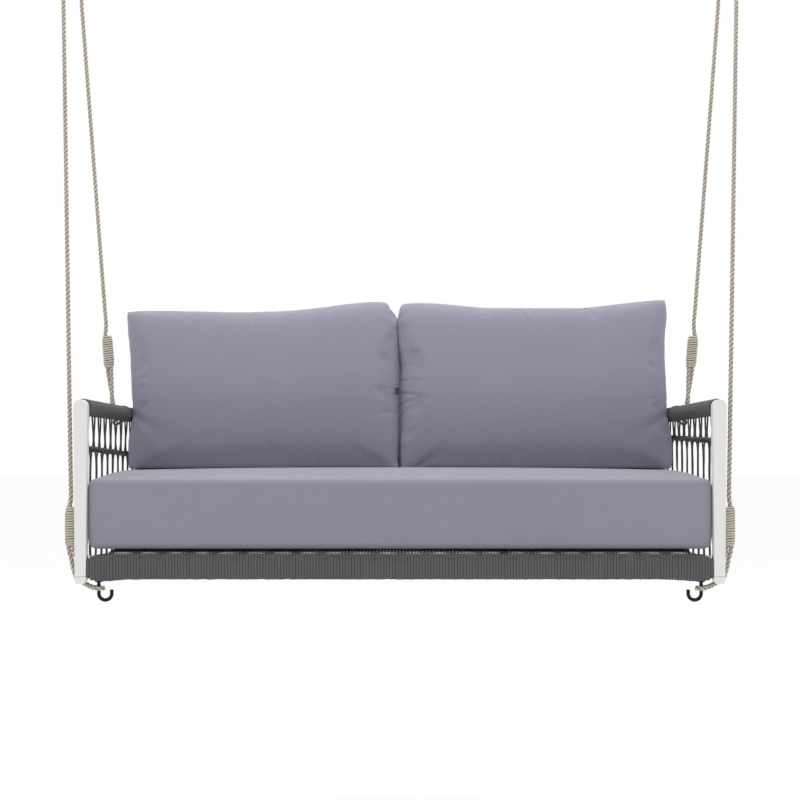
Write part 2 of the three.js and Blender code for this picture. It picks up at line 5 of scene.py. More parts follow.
import bmesh
import bpy
import numpy as np
from mathutils import Vector
from mathutils.kdtree import KDTree
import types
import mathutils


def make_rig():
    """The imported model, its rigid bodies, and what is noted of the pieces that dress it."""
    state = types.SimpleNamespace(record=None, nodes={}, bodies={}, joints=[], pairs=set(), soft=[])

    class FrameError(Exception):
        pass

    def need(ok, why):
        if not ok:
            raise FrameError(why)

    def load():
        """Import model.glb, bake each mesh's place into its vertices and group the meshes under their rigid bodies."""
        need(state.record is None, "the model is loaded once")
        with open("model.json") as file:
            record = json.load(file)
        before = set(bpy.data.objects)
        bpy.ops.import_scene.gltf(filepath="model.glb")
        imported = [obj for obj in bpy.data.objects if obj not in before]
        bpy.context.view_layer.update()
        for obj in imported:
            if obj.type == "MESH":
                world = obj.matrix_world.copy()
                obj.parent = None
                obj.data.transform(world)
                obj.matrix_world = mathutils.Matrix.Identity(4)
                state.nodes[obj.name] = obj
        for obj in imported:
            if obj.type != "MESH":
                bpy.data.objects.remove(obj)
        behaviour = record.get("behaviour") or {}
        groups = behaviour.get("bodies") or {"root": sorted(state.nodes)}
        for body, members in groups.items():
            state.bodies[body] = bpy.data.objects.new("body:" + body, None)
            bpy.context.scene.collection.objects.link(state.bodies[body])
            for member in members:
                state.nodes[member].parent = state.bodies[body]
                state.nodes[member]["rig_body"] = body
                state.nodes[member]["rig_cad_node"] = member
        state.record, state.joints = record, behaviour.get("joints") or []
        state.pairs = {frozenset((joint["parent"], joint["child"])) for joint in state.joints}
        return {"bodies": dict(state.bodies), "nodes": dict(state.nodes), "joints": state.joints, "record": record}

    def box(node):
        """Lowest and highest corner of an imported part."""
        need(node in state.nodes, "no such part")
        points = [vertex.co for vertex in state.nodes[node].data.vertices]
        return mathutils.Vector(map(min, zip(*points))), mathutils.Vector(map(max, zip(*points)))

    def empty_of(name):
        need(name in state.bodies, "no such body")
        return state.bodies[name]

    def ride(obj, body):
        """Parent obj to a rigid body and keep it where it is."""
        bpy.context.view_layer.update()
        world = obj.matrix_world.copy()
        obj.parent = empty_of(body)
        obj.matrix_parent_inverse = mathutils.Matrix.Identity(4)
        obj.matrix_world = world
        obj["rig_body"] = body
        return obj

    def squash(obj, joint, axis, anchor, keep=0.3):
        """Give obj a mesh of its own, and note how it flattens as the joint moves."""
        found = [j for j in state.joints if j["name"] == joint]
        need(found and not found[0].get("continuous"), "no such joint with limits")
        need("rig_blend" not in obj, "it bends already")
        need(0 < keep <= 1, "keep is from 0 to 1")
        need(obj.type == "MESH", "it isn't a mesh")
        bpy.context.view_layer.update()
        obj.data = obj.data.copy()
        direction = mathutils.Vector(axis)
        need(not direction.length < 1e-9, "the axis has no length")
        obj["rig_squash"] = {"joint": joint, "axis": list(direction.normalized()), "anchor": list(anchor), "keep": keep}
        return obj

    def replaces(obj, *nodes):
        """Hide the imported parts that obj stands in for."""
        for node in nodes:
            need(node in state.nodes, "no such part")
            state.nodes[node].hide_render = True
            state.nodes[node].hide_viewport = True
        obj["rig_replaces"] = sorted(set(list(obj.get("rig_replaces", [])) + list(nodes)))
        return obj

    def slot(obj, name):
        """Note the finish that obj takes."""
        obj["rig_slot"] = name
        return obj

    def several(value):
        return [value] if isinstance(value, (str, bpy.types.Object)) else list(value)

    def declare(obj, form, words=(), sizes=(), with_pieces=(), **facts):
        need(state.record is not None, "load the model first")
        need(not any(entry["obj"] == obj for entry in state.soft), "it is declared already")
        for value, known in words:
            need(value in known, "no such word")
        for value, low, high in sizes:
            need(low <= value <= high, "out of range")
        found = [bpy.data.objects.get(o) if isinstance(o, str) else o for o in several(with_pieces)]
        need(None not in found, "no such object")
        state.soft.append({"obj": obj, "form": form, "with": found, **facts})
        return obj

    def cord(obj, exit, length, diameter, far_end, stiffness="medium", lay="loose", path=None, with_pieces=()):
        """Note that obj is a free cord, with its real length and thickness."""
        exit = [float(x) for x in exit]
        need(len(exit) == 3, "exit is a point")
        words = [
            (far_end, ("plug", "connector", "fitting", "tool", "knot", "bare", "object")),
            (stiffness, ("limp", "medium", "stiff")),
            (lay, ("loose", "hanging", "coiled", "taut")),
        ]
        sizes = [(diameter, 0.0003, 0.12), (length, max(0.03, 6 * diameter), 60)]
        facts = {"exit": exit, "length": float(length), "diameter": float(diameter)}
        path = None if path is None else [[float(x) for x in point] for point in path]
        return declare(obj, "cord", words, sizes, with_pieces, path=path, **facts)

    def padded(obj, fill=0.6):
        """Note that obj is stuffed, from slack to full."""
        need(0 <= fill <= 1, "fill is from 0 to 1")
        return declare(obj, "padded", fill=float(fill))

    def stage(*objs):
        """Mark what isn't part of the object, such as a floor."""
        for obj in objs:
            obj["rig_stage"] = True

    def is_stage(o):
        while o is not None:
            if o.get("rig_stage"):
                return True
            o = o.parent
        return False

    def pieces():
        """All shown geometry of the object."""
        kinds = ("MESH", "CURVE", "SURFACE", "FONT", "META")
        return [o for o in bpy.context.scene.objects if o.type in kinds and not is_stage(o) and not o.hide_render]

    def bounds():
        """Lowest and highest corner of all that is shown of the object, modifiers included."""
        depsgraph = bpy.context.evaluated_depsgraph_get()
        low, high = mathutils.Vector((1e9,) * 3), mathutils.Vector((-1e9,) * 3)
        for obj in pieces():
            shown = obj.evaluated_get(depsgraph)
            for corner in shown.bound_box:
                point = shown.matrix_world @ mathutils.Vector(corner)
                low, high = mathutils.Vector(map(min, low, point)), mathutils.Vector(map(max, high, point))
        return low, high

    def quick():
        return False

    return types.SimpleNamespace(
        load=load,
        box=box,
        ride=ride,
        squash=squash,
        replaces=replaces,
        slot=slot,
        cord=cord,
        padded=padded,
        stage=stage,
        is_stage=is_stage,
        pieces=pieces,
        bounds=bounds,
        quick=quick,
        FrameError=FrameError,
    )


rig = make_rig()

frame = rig.load()
cad_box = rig.bounds()
scene = bpy.context.scene
nodes = frame["nodes"]
SIDES = (("left", -1), ("right", 1))

# ---- Places: "seat" points are millimetres from the posts' front plane and feet ----------------
SEAT_ORIGIN = np.array([0.0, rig.box("front_post_left")[0].y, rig.box("front_foot_left")[0].z])
LEAN = math.atan(0.12)  # of the backrest
REAR_POST_Y = 702
ARM_X, ARM_Z = 807, 447.5
ROPE_R = 6
RAIL_TOP = 78


def row(points):
    """Seat millimetres to metres in the row frame."""
    return np.asarray(points, float) * 0.001 + SEAT_ORIGIN


def leaning(points):
    """Points drawn as (x, thickness, height along the rear posts) into seat millimetres."""
    x, y, z = np.asarray(points, float).T
    c, s = math.cos(LEAN), math.sin(LEAN)
    return np.stack([x, REAR_POST_Y + y * c + z * s, z * c - y * s], 1)


def mirrored(points, side):
    return np.asarray(points, float) * (side, 1, 1)


def smoothstep(x):
    x = np.clip(x, 0, 1)
    return x * x * (3 - 2 * x)


def ripple(s, seed, wavelength, octaves=3):
    """A smooth wandering value of about +-1 along s, the same on each run."""
    rng = np.random.default_rng(seed)
    total = np.zeros_like(np.asarray(s, float))
    for i in range(octaves):
        w = wavelength / 1.7**i
        total += np.sin(2 * np.pi * (s / w + rng.random())) * (0.5 + 0.5 * rng.random()) / (i + 1)
    return total / 1.6


# ---- Camera -------------------------------------------------------------------------------------
CAMERA_AT = (0, -3362.5, 312.7)
camera_data = bpy.data.cameras.new("camera")
camera_data.lens, camera_data.sensor_width, camera_data.shift_y = 60, 36, 0.075
camera = bpy.data.objects.new("camera", camera_data)
camera.location = row(CAMERA_AT)
camera.rotation_euler = (math.pi / 2, 0, 0)
scene.collection.objects.link(camera)
scene.camera = camera


# ---- Materials ----------------------------------------------------------------------------------
CORD_FIBRE, CORD_PATCH = 900.0, 14.0  # noise scales
CLOTH_SLUB, CLOTH_CLOUD = 60.0, 3.2
THREAD = 0.0026  # metres from one thread of the cloth to the next but one


def node(tree, kind, inputs=None, **settings):
    made = tree.nodes.new(kind)
    for key, value in settings.items():
        setattr(made, key, value)
    for key, value in (inputs or {}).items():
        if isinstance(value, bpy.types.NodeSocket):
            tree.links.new(value, made.inputs[key])
        else:
            made.inputs[key].default_value = value
    return made


def maths(tree, operation, a, b=0.0):
    return node(tree, "ShaderNodeMath", {0: a, 1: b}, operation=operation).outputs[0]


def mixed(tree, factor, a, b):
    made = node(tree, "ShaderNodeMix", {0: factor, 6: a, 7: b}, data_type="RGBA")
    return made.outputs[2]


def noise(tree, where, scale, detail=3.0, roughness=0.5):
    inputs = {"Vector": where, "Scale": scale, "Detail": detail, "Roughness": roughness}
    return node(tree, "ShaderNodeTexNoise", inputs).outputs["Fac"]


def attribute(tree, name):
    return node(tree, "ShaderNodeAttribute", attribute_name=name).outputs["Fac"]


def stretched(tree, where, scale):
    return node(tree, "ShaderNodeMapping", {"Vector": where, "Scale": scale}).outputs[0]


def contrast(tree, value, low, high):
    inputs = {"Value": value, "From Min": low, "From Max": high}
    return node(tree, "ShaderNodeMapRange", inputs).outputs[0]


def start(name, roughness, metallic=0.0, **sockets):
    material = bpy.data.materials.new(name)
    material.use_nodes = True
    shader = material.node_tree.nodes["Principled BSDF"]
    shader.inputs["Roughness"].default_value = roughness
    shader.inputs["Metallic"].default_value = metallic
    for key, value in sockets.items():
        shader.inputs[key.replace("_", " ")].default_value = value
    return material, material.node_tree, shader


def bump(tree, shader, height, distance, strength=1.0):
    inputs = {"Height": height, "Distance": distance, "Strength": strength}
    made = node(tree, "ShaderNodeBump", inputs)
    tree.links.new(made.outputs[0], shader.inputs["Normal"])


def object_place(tree):
    return node(tree, "ShaderNodeTexCoord").outputs["Object"]


def weighed(tree, parts):
    """The sum of the parts, each times its weight."""
    total = None
    for value, weight in parts:
        term = maths(tree, "MULTIPLY", value, weight)
        total = term if total is None else maths(tree, "ADD", total, term)
    return total


def tone(colour, factor):
    return (*(c * factor for c in colour), 1.0)


def cord_material(name, colour, plait, bump_distance, roughness, groove, deep):
    """A plaited or laid cord: its yarns run slanting round it, and shade is painted darker into its valleys."""
    material, tree, shader = start(name, roughness, Specular_IOR_Level=0.08)
    around = maths(tree, "ARCTAN2", attribute(tree, "turn_s"), attribute(tree, "turn_c"))
    along = attribute(tree, "along")
    waves = []
    for hand in (1, -1) if plait["crossed"] else (1,):
        phase = maths(tree, "ADD", maths(tree, "MULTIPLY", around, plait["yarns"] * hand),
                      maths(tree, "MULTIPLY", along, 2 * math.pi / plait["pitch"]))
        waves.append(maths(tree, "SINE", phase))
    height = maths(tree, "MAXIMUM", waves[0], waves[-1])
    where = object_place(tree)
    fibre = noise(tree, where, CORD_FIBRE, 2.0, 0.6)
    patch = noise(tree, where, CORD_PATCH, 3.0)
    # The yarns' relief (height) lightens the colour on the yarns and darkens it between them: painted shade. Fibre and
    # patch are the cord's own uneven tone.
    shade = weighed(tree, ((height, 0.16), (fibre, 0.5), (patch, 0.35)))
    base = mixed(tree, contrast(tree, shade, 0.1, 0.75), tone(colour, 0.72), tone(colour, 1.22))
    # Painted shade: the colour falls to groove times the cord's colour on its low side (crest near -1), the valleys
    # between strands and turns.
    painted_valley_shade = contrast(tree, attribute(tree, "crest"), -0.1, deep)
    base = mixed(tree, painted_valley_shade, tone(colour, groove), base)
    tree.links.new(base, shader.inputs["Base Color"])
    relief = maths(tree, "ADD", height, maths(tree, "MULTIPLY", fibre, 1.2))
    bump(tree, shader, relief, bump_distance, 0.7)
    return material


def powder_coat(name, colour, roughness, grain=650.0, specular=0.45):
    material, tree, shader = start(name, roughness, Specular_IOR_Level=specular)
    where = object_place(tree)
    base = mixed(tree, noise(tree, where, 6.0, 4.0), tone(colour, 0.965), tone(colour, 1.02))
    speck = contrast(tree, noise(tree, where, 320.0, 2.0), 0.62, 0.72)
    base = mixed(tree, maths(tree, "MULTIPLY", speck, 0.1), base, tone(colour, 0.75))
    tree.links.new(base, shader.inputs["Base Color"])
    dull = maths(tree, "ADD", maths(tree, "MULTIPLY", noise(tree, where, 11.0), 0.16), roughness - 0.08)
    tree.links.new(dull, shader.inputs["Roughness"])
    bump(tree, shader, noise(tree, where, grain, 2.0), 0.00012, 0.5)
    return material


def bare_metal(name):
    material, tree, shader = start(name, 0.42, 1.0)
    where = object_place(tree)
    drawn = noise(tree, stretched(tree, where, (0.05, 1, 1)), 900.0, 3.0)
    base = mixed(tree, drawn, (0.42, 0.42, 0.43, 1), (0.62, 0.62, 0.63, 1))
    tree.links.new(base, shader.inputs["Base Color"])
    bump(tree, shader, drawn, 0.00005, 0.4)
    return material


def cloth_material(name, colour):
    """A plain weave: crossed threads drawn on whichever plane the surface faces."""
    sheen = {"Sheen_Weight": 0.25, "Sheen_Roughness": 0.45}
    material, tree, shader = start(name, 0.92, Specular_IOR_Level=0.15, **sheen)
    where = object_place(tree)
    place = node(tree, "ShaderNodeSeparateXYZ", {0: where}).outputs
    facing = node(tree, "ShaderNodeNewGeometry").outputs["Normal"]
    facing = node(tree, "ShaderNodeSeparateXYZ", {0: facing}).outputs
    threads = [maths(tree, "SINE", maths(tree, "MULTIPLY", axis, 2 * math.pi / THREAD)) for axis in place]
    weave = None
    for i, (a, b) in enumerate(((1, 2), (0, 2), (0, 1))):
        share = maths(tree, "POWER", maths(tree, "ABSOLUTE", facing[i]), 3.0)
        plane = maths(tree, "MULTIPLY", maths(tree, "MULTIPLY", threads[a], threads[b]), share)
        weave = plane if weave is None else maths(tree, "ADD", weave, plane)
    slub = noise(tree, stretched(tree, where, (1, 8, 1)), CLOTH_SLUB, 4.0)
    upright = noise(tree, stretched(tree, where, (9, 9, 0.6)), CLOTH_SLUB, 3.0)
    cloudy = noise(tree, where, CLOTH_CLOUD, 4.0)
    shade = weighed(tree, ((slub, 0.3), (upright, 0.3), (cloudy, 0.4), (weave, 0.05)))
    base = mixed(tree, contrast(tree, shade, 0.3, 0.7), tone(colour, 0.93), tone(colour, 1.07))
    tree.links.new(base, shader.inputs["Base Color"])
    relief = maths(tree, "ADD", weave, maths(tree, "MULTIPLY", slub, 1.5))
    bump(tree, shader, relief, 0.00022, 0.6)
    return material


LAID = {"yarns": 5, "pitch": 0.021, "crossed": False}
PLAITED = {"yarns": 3, "pitch": 0.0075, "crossed": True}
TAN = (0.62, 0.555, 0.475)
DARK = (0.114, 0.113, 0.119)
MATERIALS = {
    "white_powder_coat": powder_coat("white_powder_coat", (0.725, 0.725, 0.715), 0.42),
    "bare_aluminium": bare_metal("bare_aluminium"),
    # The last two numbers set the painted shade in the valleys: its colour factor, and how far towards the crest it
    # reaches.
    "dark_rope": cord_material("dark_rope", DARK, PLAITED, 0.0003, 0.85, 0.6, 0.6),
    "tan_rope": cord_material("tan_rope", TAN, LAID, 0.0004, 0.95, 0.2, 0.85),
    "black_steel": powder_coat("black_steel", (0.005, 0.005, 0.0055), 0.4, 900.0, 0.2),
    "cushion_fabric": cloth_material("cushion_fabric", (0.252, 0.245, 0.309)),
    "zip_tab": powder_coat("zip_tab", (0.025, 0.024, 0.032), 0.5),
}


# ---- Meshes -------------------------------------------------------------------------------------
def piece(name, verts, faces, body, slot, replaces=()):
    """A mesh of seat millimetres as a piece in the row frame, riding on a body."""
    mesh = bpy.data.meshes.new(name)
    mesh.from_pydata(row(verts).tolist(), [], faces)
    mesh.materials.append(MATERIALS[slot])
    mesh.shade_smooth()
    made = bpy.data.objects.new(name, mesh)
    scene.collection.objects.link(made)
    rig.ride(made, body)
    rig.slot(made, slot)
    if replaces:
        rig.replaces(made, *replaces)
    return made


def unit(v):
    return v / np.maximum(np.linalg.norm(v, axis=-1, keepdims=True), 1e-9)


def lengths_along(path):
    return np.concatenate([[0], np.cumsum(np.linalg.norm(np.diff(path, axis=0), axis=1))])


def carried(path):
    """Normals along a path that turn with it and never twist."""
    tangents = unit(np.gradient(path, axis=0))
    first = np.cross(tangents[0], (0.3, 0.9, 0.2))
    normals = [first / np.linalg.norm(first)]
    for t in tangents[1:]:
        n = normals[-1] - t * np.dot(normals[-1], t)
        normals.append(n / np.linalg.norm(n))
    return tangents, np.array(normals)


def curve(points, step):
    """A smooth centripetal spline through points, sampled about every step millimetres."""
    p = np.asarray(points, float)
    p = np.vstack([2 * p[0] - p[1], p, 2 * p[-1] - p[-2]])
    spans = np.maximum(np.linalg.norm(np.diff(p, axis=0), axis=1), 1e-6)
    knots = np.concatenate([[0], np.cumsum(spans**0.5)])
    out = []
    for i in range(1, len(p) - 2):
        k0, k1, k2, k3 = knots[i - 1 : i + 3]
        count = max(1, math.ceil(np.linalg.norm(p[i + 1] - p[i]) / step))
        t = np.linspace(k1, k2, count, endpoint=False)[:, None]
        a1 = (k1 - t) / (k1 - k0) * p[i - 1] + (t - k0) / (k1 - k0) * p[i]
        a2 = (k2 - t) / (k2 - k1) * p[i] + (t - k1) / (k2 - k1) * p[i + 1]
        a3 = (k3 - t) / (k3 - k2) * p[i + 1] + (t - k2) / (k3 - k2) * p[i + 2]
        b1 = (k2 - t) / (k2 - k0) * a1 + (t - k0) / (k2 - k0) * a2
        b2 = (k3 - t) / (k3 - k1) * a2 + (t - k1) / (k3 - k1) * a3
        out.append((k2 - t) / (k2 - k1) * b1 + (t - k1) / (k2 - k1) * b2)
    return np.vstack([*out, p[-2][None]])


class Cords:
    """Cords swept along paths and gathered into one mesh, with each point's place on its cord."""

    def __init__(self):
        self.verts, self.faces, self.along, self.turn, self.crest = [], [], [], [], []
        self.count = 0

    def add(self, path, radius, across=None, normals=None, sides=8):
        """radius is along the normals, and across is the half width at right angles to them."""
        path = np.asarray(path, float)
        tangents, own = carried(path)
        if normals is None:
            normals = own
        else:
            normals = unit(normals - tangents * np.sum(normals * tangents, 1, keepdims=True))
        others = np.cross(tangents, normals)
        angles = np.arange(sides) * 2 * math.pi / sides
        c, s = np.cos(angles), np.sin(angles)
        radius = np.broadcast_to(radius, len(path))[:, None, None]
        across = radius if across is None else np.broadcast_to(across, len(path))[:, None, None]
        ring = radius * c[None, :, None] * normals[:, None] + across * s[None, :, None] * others[:, None]
        n = len(path)
        self.verts.append((path[:, None] + ring).reshape(-1, 3))
        self.along.append(np.repeat(lengths_along(path) * 0.001, sides))
        self.turn.append(np.tile(angles, n))
        # crest is 1 on the side the normals point to and -1 opposite; the cord materials paint shade where it is low.
        self.crest.append(np.tile(c, n))
        i, j = np.meshgrid(np.arange(n - 1), np.arange(sides), indexing="ij")
        a, b = i * sides + j, i * sides + (j + 1) % sides
        quads = np.stack([a, b, b + sides, a + sides], -1).reshape(-1, 4) + self.count
        self.faces += quads.tolist()
        self.faces.append((np.arange(sides)[::-1] + self.count).tolist())
        self.faces.append((np.arange(sides) + self.count + (n - 1) * sides).tolist())
        self.count += n * sides

    def build(self, name, body, slot, replaces=(), side=1):
        verts = mirrored(np.vstack(self.verts), side)
        faces = self.faces if side > 0 else [f[::-1] for f in self.faces]
        made = piece(name, verts, faces, body, slot, replaces)
        turn = np.concatenate(self.turn)
        values = {
            "along": np.concatenate(self.along),
            "turn_c": np.cos(turn),
            "turn_s": np.sin(turn) * side,
            "crest": np.concatenate(self.crest),
        }
        for key, value in values.items():
            layer = made.data.attributes.new(key, "FLOAT", "POINT")
            layer.data.foreach_set("value", value.astype(np.float32))
        return made


def arc(middle, radius, a, b, first, last, steps):
    angles = np.radians(np.linspace(first, last, steps + 1))[:, None]
    return list(np.asarray(middle, float) + radius * (np.cos(angles) * a + np.sin(angles) * b))


X, Y, Z = np.eye(3)
TURN_SAMPLES = 26

# ---- Ropes: the same routes as the CAD model's --------------------------------------------------
PAIR = 6.2  # half the distance between the two ropes of a pair
LEAN_POINT = np.array([972.0, 440, 2460])  # every rope's straight part points at this
FRONT_FOOT = np.array([840.0, 43, 200])
REAR_FOOT = np.array([837.5, 525.5, ARM_Z])
YOKE_X, EYE_LOOP, EYE_LOOP_Z = 930.6, 13, 1799.2
FRONT_EYE_Y, REAR_EYE_Y = 324, 468
HOOK = np.array([763.9, 20, -12.5])
HOOK_LOOP = 11
PEG_LOOP = 11.3
REAR_ASIDE = (0.97, 0.26, 0)  # from one rope of the rear pair to the other
ROPE_LAY = 38  # millimetres for one turn of a strand
ROPE_STEP = 3.2
STRAND_OUT, STRAND_R = 0.48, 0.53  # shares of the rope's radius
WHIPPING_PITCH, WHIPPING_HALF_THICK, WHIPPING_HALF_WIDE = 6.4, 2.3, 2.95
PAIR_FLAT, PAIR_ROUND = 6.1, 8.1  # half the flat of the wound pair, and its round ends' radius


def on_rope(foot, z):
    return foot + (LEAN_POINT - foot) * (z - foot[2]) / (LEAN_POINT[2] - foot[2])


def top_loop(foot, eye_y):
    tail = [on_rope(foot, z) - X * PAIR for z in (1690, 1725, 1762)]
    main = [on_rope(foot, z) + X * PAIR for z in (1762, 1725, 1685)]
    over = arc((YOKE_X, eye_y, EYE_LOOP_Z), EYE_LOOP, X, Z, 180, 0, 6)
    inner, outer = (YOKE_X - 10.5, eye_y - 2, 1781), (YOKE_X + 10.5, eye_y - 2, 1781)
    return [*tail, inner, *over, outer, *main, on_rope(foot, 1655), on_rope(foot, 1600)]


def front_route():
    down = [on_rope(FRONT_FOOT, z) for z in (1000, 300, 245)]
    outer = [
        (840.7, 43.1, 214), (842.7, 43, 200), (845.2, 43, 184), (846.2, 43, 160), (846.2, 43, 120),
        (846.2, 43, 92), (845.4, 43, 82), (840.5, 43, 64), (833.5, 42.5, 32), (824, 41, 9),
        (808, 37, 0), (788, 22, -8),
    ]
    inner = [
        (788, 36, -9), (806, 50, -2), (822, 55, 8), (825.5, 54.5, 30), (827.5, 50, 58),
        (832.5, 44.5, 78), (833.8, 43, 92), (833.8, 43, 130), (833.8, 43, 172),
    ]
    bight = arc(HOOK, HOOK_LOOP, X, Y, -70, -290, 7)
    return [*top_loop(FRONT_FOOT, FRONT_EYE_Y), *down, *outer, *bight, *inner]


def rear_route():
    aside = np.array(REAR_ASIDE) * PAIR
    x, y, z = REAR_FOOT
    down = [on_rope(REAR_FOOT, h) for h in (1100, 760, 702)]
    outer = [on_rope(REAR_FOOT, h) + aside for h in (668, 630, 585)]
    inner = [on_rope(REAR_FOOT, h) - aside for h in (585, 630, 660)]
    return [
        *top_loop(REAR_FOOT, REAR_EYE_Y), *down, *outer, (846, 529, 530), (839, y + PEG_LOOP, 480),
        *arc((x, y, z), PEG_LOOP, Y, Z, 0, -180, 6), (838, y - PEG_LOOP, 480), (838, 515.5, 530), *inner,
    ]


def laid_rope(name, route, node_name):
    """Three strands laid round each other along the route, right-handed on both sides."""
    path = curve(route, ROPE_STEP)
    tangents, normals = carried(path)
    others = np.cross(tangents, normals)
    lengths = lengths_along(path)
    cords = Cords()
    for strand in range(3):
        angle = (2 * math.pi * (lengths / ROPE_LAY + strand / 3))[:, None]
        out = np.cos(angle) * normals + np.sin(angle) * others
        cords.add(path + out * ROPE_R * STRAND_OUT, ROPE_R * STRAND_R, normals=out, sides=10)
    made = cords.build(name, "swing", "tan_rope", [node_name])
    return made, row(path), lengths[-1] * 0.001


def seizing(names, low, high, across, side, seed):
    """A thin cord wound tightly round a doubled rope: full in the middle, drawn in at its ends."""
    name, node_name = names
    low, high = np.asarray(low, float), np.asarray(high, float)
    along = unit(high - low)
    thick = unit(np.cross(along, across))
    wide = np.cross(thick, along)
    length = np.linalg.norm(high - low)
    turns = round(length / WHIPPING_PITCH) - 1
    t = np.arange(turns * TURN_SAMPLES + 1) / TURN_SAMPLES
    share = t / turns
    angle = 2 * math.pi * t
    swell = 1 - 0.3 * np.abs(2 * share - 1) ** 7 + 0.02 * ripple(t, seed, 2.3)
    c, s = np.cos(angle), np.sin(angle)
    u = (np.sign(c) * PAIR_FLAT * np.minimum(1, np.abs(c) * 2.2) + PAIR_ROUND * c) * swell
    v = PAIR_ROUND * s * swell
    slant = 2.2 * side * c * np.minimum(1, 9 * share * (1 - share))
    w = WHIPPING_PITCH / 2 + share * (length - WHIPPING_PITCH) + slant + 0.6 * ripple(t, seed + 1, 1.4)
    path = low + u[:, None] * wide + v[:, None] * thick + w[:, None] * along
    normals = c[:, None] * wide + s[:, None] * thick
    cords = Cords()
    cords.add(path, WHIPPING_HALF_THICK, across=WHIPPING_HALF_WIDE, normals=normals, sides=8)
    return cords.build(name, "swing", "tan_rope", [node_name], side)


for word, side in SIDES:
    ends = {
        "front": (FRONT_FOOT, front_route(), (840, 43, 88), (840, 43, 196), X),
        "rear": (REAR_FOOT, rear_route(), on_rope(REAR_FOOT, 578), on_rope(REAR_FOOT, 676), REAR_ASIDE),
    }
    for place, (foot, route, low, high, across) in ends.items():
        route = mirrored(route, side)
        rope, path, length = laid_rope(f"laid_rope_{place}_{word}", route, f"rope_{place}_{word}")
        seed = 10 * len(place) + side
        low_names, top_names = ((f"whipping_{place}_{end}_{word}", f"seizing_{place}_{end}_{word}")
                                for end in ("low", "top"))
        top_low, top_high = on_rope(foot, 1668), on_rope(foot, 1764)
        wound = [
            seizing(low_names, low, high, across, side, seed),
            seizing(top_names, top_low, top_high, X, side, seed + 3),
        ]
        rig.cord(rope, exit=path[-1], length=length, diameter=0.012, far_end="fitting", stiffness="limp",
                lay="taut", path=path, with_pieces=[*wound, nodes[f"yoke_{word}"]])


# ---- Wrapped arms and top rail ------------------------------------------------------------------
WRAP_HALF_THICK = 2.3
BAND_SWELL = 2.4  # how far the wrapping stands up over the band that holds the peg
BACK_RAIL_UP = 741


def round_wrap(start_y, length, radius, half_thick, pitch, seed, swell_y=None):
    """A cord wound round a bar that runs along y, as a path about the bar's own axis."""
    turns = round(length / pitch)
    t = np.arange(turns * TURN_SAMPLES + 1) / TURN_SAMPLES
    angle = 2 * math.pi * t
    y = start_y + pitch / 2 + t / turns * (length - pitch) + 0.12 * ripple(t, seed + 1, 3.1)
    out = radius - half_thick + 0.18 * ripple(t, seed, 5.3)
    if swell_y:
        out = out + BAND_SWELL * smoothstep((15 - np.abs(y - swell_y)) / 6)
    normals = np.stack([np.cos(angle), 0 * angle, np.sin(angle)], 1)
    return normals * out[:, None] + y[:, None] * Y, normals


for word, side in SIDES:
    path, normals = round_wrap(start_y=26.4, length=713.8, radius=21.6, half_thick=WRAP_HALF_THICK,
                               pitch=4.9, seed=5 + side, swell_y=REAR_FOOT[1])
    cords = Cords()
    cords.add(path + (ARM_X, 0, ARM_Z), WRAP_HALF_THICK, across=2.55, normals=normals, sides=6)
    cords.build(f"wound_arm_{word}", "swing", "dark_rope", [f"arm_wrap_{word}"], side)

path, normals = round_wrap(start_y=-789, length=1578, radius=17.5, half_thick=WRAP_HALF_THICK,
                           pitch=5.2, seed=31)
cords = Cords()
turned = leaning(path[:, [1, 0, 2]] + (0, 0, BACK_RAIL_UP))
normals = leaning(normals[:, [1, 0, 2]]) - leaning(np.zeros((1, 3)))
cords.add(turned, WRAP_HALF_THICK, across=2.7, normals=normals, sides=6)
cords.build("wound_back_rail", "swing", "dark_rope", ["back_rail_wrap"])

# ---- Wrapped front rail -------------------------------------------------------------------------
RAIL_TURN = 7.4
RAIL_HALF_THICK = 3.5
RAIL_END = 788  # the last turn's middle
RAIL_FRONT, RAIL_BACK, RAIL_CORNER = 0.5, 39.5, 9
SHOULDER_X = [0, 640, 690, 734, 760, 780, 790]
SHOULDER_TOP = [76.5, 76.5, 76.5, 76, 74.5, 70.5, 64]
SHOULDER_BOTTOM = [9.8, 9.8, 8.8, 6, 5, 7.5, 14]


def rail_turns():
    """Upright turns side by side, each crossing to the next one under the rail."""
    corner, front, back = RAIL_CORNER, RAIL_FRONT + RAIL_HALF_THICK, RAIL_BACK - RAIL_HALF_THICK
    turns = round(2 * RAIL_END / RAIL_TURN)
    rng = np.random.default_rng(4)
    points, normals = [], []
    for turn in range(turns):
        x = RAIL_END * (2 * turn / (turns - 1) - 1) + 0.12 * rng.standard_normal()
        swell = 0.35 * rng.standard_normal()
        top = np.interp(abs(x), SHOULDER_X, SHOULDER_TOP) - RAIL_HALF_THICK + swell
        bottom = np.interp(abs(x), SHOULDER_X, SHOULDER_BOTTOM) + RAIL_HALF_THICK - swell
        near, far = front + corner - swell, back - corner
        corners = [(near, bottom + corner, -90), (near, top - corner, -180),
                   (far, top - corner, -270), (far, bottom + corner, -360)]
        for y, z, first in corners:
            for a in np.radians(np.linspace(first, first - 90, 6)):
                points.append((x, y + corner * math.cos(a), z + corner * math.sin(a)))
                normals.append((0, math.cos(a), math.sin(a)))
    return np.array(points), np.array(normals)


path, normals = rail_turns()
cords = Cords()
cords.add(path, RAIL_HALF_THICK, across=RAIL_TURN * 0.52, normals=normals, sides=8)
cords.build("wound_front_rail", "swing", "dark_rope", ["front_rail_wrap"])

